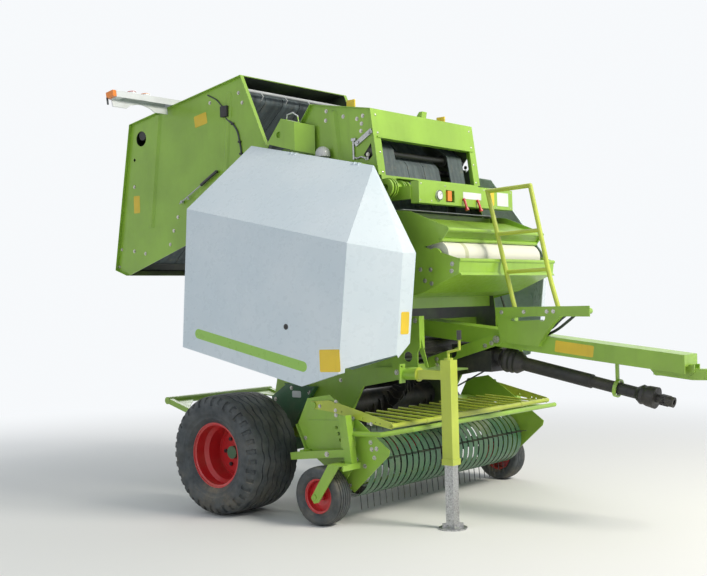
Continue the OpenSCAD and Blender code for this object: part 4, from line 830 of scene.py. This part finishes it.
def round_two(a, b, ra, rb, pitch):
    """Points and tangents at an even pitch along the loop round two wheels, on X and Z."""
    a, b = Vector(a), Vector(b)
    span = b - a
    heading = math.atan2(span.y, span.x)
    lean = math.acos((ra - rb) / span.length)
    arcs = [(a, ra, heading + lean, heading - lean + 2 * math.pi), (b, rb, heading - lean, heading + lean)]
    path = []
    for centre, radius, first, last in arcs:
        for i in range(ARC_STEPS + 1):
            angle = first + (last - first) * i / ARC_STEPS
            path.append(centre + radius * Vector((math.cos(angle), math.sin(angle))))
    lengths = [(path[(i + 1) % len(path)] - p).length for i, p in enumerate(path)]
    count = round(sum(lengths) / pitch)
    gap = sum(lengths) / count
    places, index, walked = [], 0, 0.0
    for k in range(count):
        while walked + lengths[index] < k * gap:
            walked += lengths[index]
            index += 1
        share = (k * gap - walked) / lengths[index]
        tangent = (path[(index + 1) % len(path)] - path[index]).normalized()
        places.append((path[index] + tangent * share * lengths[index], tangent))
    return places


# Centres and radii of each chain's two wheels, and the chain's distance from the middle
CHAINS = (
    ((1.262, 1.120), (1.040, 1.640), 0.067, 0.123, 0.661),
    ((0.490, 0.740), (1.262, 1.120), 0.057, 0.067, 0.681),
)
chain_places = []
for first, second, ra, rb, y in CHAINS:
    for place, tangent in round_two(first, second, ra, rb, LINK_LENGTH):
        chain_places.append(((place.x, y, place.y), (tangent.x, 0.0, tangent.y), 1.0))
repeated("chain_links", "chassis", link_tree, dark_steel, chain_places)


# Tubes and wires along smooth paths
def smooth_path(points, steps):
    path = []
    for i in range(len(points) - 1):
        p0, p1, p2, p3 = [Vector(points[max(0, min(len(points) - 1, i + k))]) for k in (-1, 0, 1, 2)]
        for s in range(steps):
            t = s / steps
            path.append(0.5 * (2 * p1 + (p2 - p0) * t + (2 * p0 - 5 * p1 + 4 * p2 - p3) * t ** 2
                               + (3 * p1 - p0 - 3 * p2 + p3) * t ** 3))
    return [*path, Vector(points[-1])]


def tube(name, body, points, radius, finish, steps=8):
    """A round tube along the points, smoothed in steps between them, or straight with none."""
    curve = bpy.data.curves.new(name, "CURVE")
    curve.dimensions = "3D"
    curve.bevel_depth = radius
    curve.bevel_resolution = 3
    curve.use_fill_caps = True
    path = smooth_path(points, steps) if steps else [Vector(p) for p in points]
    spline = curve.splines.new("POLY")
    spline.points.add(len(path) - 1)
    for point, place in zip(spline.points, path):
        point.co = (*place, 1.0)
    holder = bpy.data.objects.new(name + "_holder", curve)
    bpy.context.collection.objects.link(holder)
    mesh = bpy.data.meshes.new_from_object(holder.evaluated_get(bpy.context.evaluated_depsgraph_get()))
    bpy.data.objects.remove(holder)
    mesh.name = name
    add_piece(mesh, name, body, finish)


def rounded_block(name, body, low, high, finish, edge=0.004):
    """A box with eased edges, between two corners."""
    shape = bmesh.new()
    bmesh.ops.create_cube(shape, size=1.0)
    low, high = Vector(low), Vector(high)
    for vert in shape.verts:
        vert.co = Vector(low[k] + (vert.co[k] + 0.5) * (high[k] - low[k]) for k in range(3))
    bmesh.ops.bevel(shape, geom=shape.edges, offset=edge, segments=3, profile=0.5, affect="EDGES")
    mesh = bpy.data.meshes.new(name)
    shape.to_mesh(mesh)
    shape.free()
    add_piece(mesh, name, body, finish)


TURNED_SIDES = 40


def turned_part(name, body, profile, base, axis, finish):
    """A closed profile of radius and height turned about an axis; its ends lie on the axis."""
    turn = Vector(axis).to_track_quat("Z", "Y").to_matrix()
    points = []
    for i in range(TURNED_SIDES):
        angle = 2.0 * math.pi * i / TURNED_SIDES
        for radius, height in profile:
            local = Vector((radius * math.cos(angle), radius * math.sin(angle), height))
            points.append(turn @ local + Vector(base))
    faces = []
    columns = len(profile)
    for i in range(TURNED_SIDES):
        a, b = i * columns, ((i + 1) % TURNED_SIDES) * columns
        for j in range(columns - 1):
            faces.append((a + j, a + j + 1, b + j + 1, b + j))
    add_piece(closed_mesh(name, points, faces), name, body, finish)


# Wiring of the tailgate's right side, held by its clips, with its junction box
GATE_WIRE = [
    (-0.535, 3.049), (-0.505, 3.000), (-0.470, 2.970), (-0.436, 2.948), (-0.385, 2.880), (-0.362, 2.796),
    (-0.350, 2.740), (-0.348, 2.690),
]
GATE_LEAD = [(-0.720, 3.215), (-0.620, 3.165), (-0.560, 3.110), (-0.520, 3.080)]
GATE_CLIPS = [(-0.436, 2.948), (-0.362, 2.796), (-0.349, 2.700)]
GATE_BOX = ((-0.552, -SIDE_Y - 0.034, 3.010), (-0.476, -SIDE_Y, 3.098))
WIRE_Y = -SIDE_Y - 0.006
tube("gate_wire", "tailgate", [(x, WIRE_Y, z) for x, z in GATE_WIRE], 0.0075, hose_black)
tube("gate_lead", "tailgate", [(x, WIRE_Y, z) for x, z in GATE_LEAD], 0.005, hose_black)
rounded_block("gate_box", "tailgate", *GATE_BOX, black_plastic)
for index, (x, z) in enumerate(GATE_CLIPS):
    low = (x - 0.014, -SIDE_Y - 0.016, z - 0.008)
    high = (x + 0.014, -SIDE_Y + 0.001, z + 0.008)
    rounded_block(f"gate_clip_{index}", "tailgate", low, high, black_plastic, 0.002)


# Blank plates, with round corners, on the right hood, the tailgate, the drawbar, the axle and the panel
PLATE_CORNER = 0.010
PLATE_LOW = -0.0005
PLATE_HIGH = 0.0011


def plate(name, body, centre, along, normal, size, finish):
    """A thin plate sunk a little in to its face, with its long side along a direction."""
    normal = Vector(normal).normalized()
    along = Vector(along).normalized()
    up = normal.cross(along)
    outline = []
    for quarter, (sx, sy) in enumerate(((1, 1), (-1, 1), (-1, -1), (1, -1))):
        for i in range(5):
            angle = math.radians(90 * quarter + 22.5 * i)
            outline.append((
                sx * (size[0] / 2 - PLATE_CORNER) + PLATE_CORNER * math.cos(angle),
                sy * (size[1] / 2 - PLATE_CORNER) + PLATE_CORNER * math.sin(angle),
            ))
    count = len(outline)
    points = []
    for height in (PLATE_LOW, PLATE_HIGH):
        points += [Vector(centre) + along * u + up * v + normal * height for u, v in outline]
    faces = [tuple(range(count)), tuple(range(count, 2 * count))]
    faces += [(i, (i + 1) % count, count + (i + 1) % count, count + i) for i in range(count)]
    add_piece(closed_mesh(name, points, faces), name, body, finish)


# Name, body, finish, centre, rise of the long side, width and height, all on the right side
SIDE_PLATES = [
    ("hood_plate", "hood_r", plate_yellow, (1.042, -HOOD_Y, 1.122), 0.02, (0.180, 0.150)),
    ("beam_plate", "chassis", plate_yellow, (2.248, -0.1000, 1.155), -0.13, (0.290, 0.078)),
    ("axle_plate", "chassis", plate_white, (0.200, -0.6450, 0.825), 0.0, (0.090, 0.050)),
    ("gate_plate", "tailgate", plate_yellow, (-0.815, -0.6200, 3.026), 0.16, (0.150, 0.095)),
    ("edge_plate", "tailgate", plate_yellow, (-1.648, -0.6200, 2.397), 0.0, (0.080, 0.150)),
]
for name, body, finish, centre, rise, size in SIDE_PLATES:
    plate(name, body, centre, (1.0, 0.0, rise), (0.0, -1.0, 0.0), size, finish)
HOOD_FRONT = ((1.4336, -0.900, 1.360), (0.032, 0.100, 0.0), (0.947, -0.303, -0.109))
FORWARD = (1, 0, 0)
plate("hood_front_plate", "hood_r", *HOOD_FRONT, (0.066, 0.150), plate_yellow)
plate("panel_plate", "chassis", (PANEL_X, 0.322, 2.262), (0, 1, 0), FORWARD, (0.070, 0.106), plate_yellow)

# Face and bezel of the round dial, as radius and height, and its hand
DIAL_Y = -0.371
DIAL_Z = 2.247
BEZEL = [(0.0, 0.0), (0.036, 0.0), (0.037, 0.004), (0.034, 0.0065), (0.031, 0.0045), (0.0, 0.0045)]
DISC = [(0.0, 0.0), (0.030, 0.0), (0.030, 0.001), (0.0, 0.001)]
DIAL_HAND = [(PANEL_X + 0.0185, DIAL_Y, DIAL_Z), (PANEL_X + 0.0185, -0.354, 2.262)]
turned_part("dial_bezel", "chassis", BEZEL, (PANEL_X + 0.0125, DIAL_Y, DIAL_Z), FORWARD, dark_steel)
turned_part("dial_face", "chassis", DISC, (PANEL_X + 0.0168, DIAL_Y, DIAL_Z), FORWARD, plate_white)
tube("dial_hand", "chassis", DIAL_HAND, 0.0011, black_plastic, 0)

# Lenses of the lamps on the sloping light bar, and the rubber flap at each end of the bar
GATE_LOW = (-1.696, 3.093)
GATE_HIGH = (-0.319, 3.318)
LIGHT_X = -1.220
LENS = [(0.0, 0.0), (0.044, 0.0), (0.044, 0.004), (0.040, 0.008), (0.024, 0.0105), (0.0, 0.0115)]
LAMPS = (("brake", 1.030, red_lens), ("turn", 0.890, amber_lens))
FLAP_Y = 1.252
slope = math.atan2(GATE_HIGH[1] - GATE_LOW[1], GATE_HIGH[0] - GATE_LOW[0])
along = Vector((math.cos(slope), 0.0, math.sin(slope)))
up = Vector((-math.sin(slope), 0.0, math.cos(slope)))
root = Vector((LIGHT_X, 0.0, GATE_LOW[1] + (LIGHT_X - GATE_LOW[0]) * math.tan(slope)))
for tag, sign in SIDES:
    for label, y, finish in LAMPS:
        base = root + along * 0.048 + up * 0.0665 + Vector((0.0, sign * y, 0.0))
        turned_part(f"{label}_lens_{tag}", "tailgate", LENS, base, up, finish)
    tip = root + along * 0.012 + Vector((0.0, sign * FLAP_Y, 0.0))
    tube("bar_flap_" + tag, "tailgate", [tip + up * 0.010, tip - up * 0.045], 0.008, hose_black, 0)

# Round lock button of each hood, as radius and height
LOCK = [
    (0.0, 0.0), (0.020, 0.0), (0.020, 0.003), (0.016, 0.005), (0.007, 0.005), (0.006, 0.003), (0.0, 0.003),
]
for tag, sign in SIDES:
    place = (0.650, sign * (HOOD_Y - 0.0005), 1.350)
    turned_part("hood_lock_" + tag, "hood_" + tag, LOCK, place, (0, sign, 0), black_plastic)

# Yellow lifting lugs on the roof
LUG_Y = (0.560, 0.572)
for tag, sign in SIDES:
    low_y, high_y = sorted(sign * y for y in LUG_Y)
    rounded_block("lift_lug_" + tag, "chassis", (0.700, low_y, 2.925), (0.780, high_y, 2.985), plate_yellow)

# Two short hoses between the bracket and the beam
HOSES = {
    "hose_a": [
        (2.240, -0.110, 1.408), (2.150, -0.080, 1.360), (2.050, -0.060, 1.290),
        (1.900, -0.055, 1.240), (1.700, -0.060, 1.258),
    ],
    "hose_b": [
        (2.300, -0.110, 1.408), (2.200, -0.060, 1.350), (2.060, -0.030, 1.270),
        (1.900, -0.020, 1.226), (1.700, -0.020, 1.245),
    ],
}
for name, points in HOSES.items():
    tube(name, "chassis", points, 0.010, hose_black)


# Floor, backdrop, lights and camera
FLOOR_HALF = 60.0
FADE_FROM = 2.5
FADE_TO = 8.5
CAMERA_PLACE = (5.858, -6.733, 1.514)
CAMERA_RIGHT = (0.768, 0.640, -0.026)
CAMERA_FORWARD = (-0.640, 0.768, 0.012)
CAMERA_LENS = 56.01


def make_stage():
    """A pale floor that fades in to the backdrop, so no horizon shows."""
    mat, tree, shader = new_material("floor_pale")
    shader.inputs["Base Color"].default_value = (*FLOOR, 1.0)
    shader.inputs["Roughness"].default_value = 0.9
    glow = tree.nodes.new("ShaderNodeEmission")
    glow.inputs["Color"].default_value = (*BACKDROP, 1.0)
    away = vector_maths(tree, "LENGTH", object_place(tree))
    path = tree.nodes.new("ShaderNodeLightPath")
    seen = maths(tree, "MAXIMUM", path.outputs["Is Camera Ray"], path.outputs["Is Glossy Ray"])
    blend = tree.nodes.new("ShaderNodeMixShader")
    link(tree, maths(tree, "MULTIPLY", seen, ramp(tree, away, FADE_FROM, FADE_TO)), blend.inputs["Fac"])
    link(tree, shader.outputs["BSDF"], blend.inputs[1])
    link(tree, glow.outputs["Emission"], blend.inputs[2])
    link(tree, blend.outputs["Shader"], tree.nodes["Material Output"].inputs["Surface"])
    mesh = bpy.data.meshes.new("floor")
    corners = [(x * FLOOR_HALF, y * FLOOR_HALF, 0) for x, y in ((-1, -1), (1, -1), (1, 1), (-1, 1))]
    mesh.from_pydata(corners, [], [(0, 1, 2, 3)])
    floor = bpy.data.objects.new("floor", mesh)
    bpy.context.collection.objects.link(floor)
    floor.data.materials.append(mat)


def make_world():
    world = bpy.data.worlds.new("studio")
    world.use_nodes = True
    tree = world.node_tree
    background = tree.nodes["Background"]
    background.inputs["Color"].default_value = (*SKY, 1.0)
    background.inputs["Strength"].default_value = 0.46
    seen = tree.nodes.new("ShaderNodeBackground")
    seen.inputs["Color"].default_value = (*BACKDROP, 1.0)
    seen.inputs["Strength"].default_value = 1.0
    path = tree.nodes.new("ShaderNodeLightPath")
    either = maths(tree, "MAXIMUM", path.outputs["Is Camera Ray"], path.outputs["Is Glossy Ray"])
    either = maths(tree, "MAXIMUM", either, path.outputs["Is Transmission Ray"])
    blend = tree.nodes.new("ShaderNodeMixShader")
    link(tree, either, blend.inputs["Fac"])
    link(tree, background.outputs["Background"], blend.inputs[1])
    link(tree, seen.outputs["Background"], blend.inputs[2])
    link(tree, blend.outputs["Shader"], tree.nodes["World Output"].inputs["Surface"])
    bpy.context.scene.world = world


def area_light(name, place, target, size, power, colour=(1.0, 1.0, 1.0)):
    data = bpy.data.lights.new(name, "AREA")
    data.shape = "DISK"
    data.size = size
    data.energy = power
    data.color = colour
    lamp = bpy.data.objects.new(name, data)
    bpy.context.collection.objects.link(lamp)
    lamp.location = place
    lamp.rotation_euler = (Vector(target) - Vector(place)).to_track_quat("-Z", "Y").to_euler()


def make_camera():
    data = bpy.data.cameras.new("camera")
    data.lens = CAMERA_LENS
    data.sensor_width = 36.0
    data.clip_end = 200.0
    camera = bpy.data.objects.new("camera", data)
    bpy.context.collection.objects.link(camera)
    forward = Vector(CAMERA_FORWARD).normalized()
    up = Vector(CAMERA_RIGHT).normalized().cross(forward).normalized()
    right = forward.cross(up).normalized()
    turn = Matrix((right, up, -forward)).transposed()
    camera.matrix_world = Matrix.Translation(CAMERA_PLACE) @ turn.to_4x4()
    bpy.context.scene.camera = camera


make_stage()
make_world()
area_light("key", (8.5, 0.5, 7.0), (0.3, 0.0, 1.2), 3.0, 820.0, (1.0, 0.95, 0.84))
area_light("fill", (0.0, -9.5, 4.0), (0.0, 0.0, 1.6), 6.0, 90.0, (0.88, 0.95, 1.0))
area_light("rim", (-6.0, 6.0, 7.0), (0.0, 0.0, 1.6), 5.0, 190.0)
make_camera()

bpy.context.scene.view_settings.view_transform = "Standard"
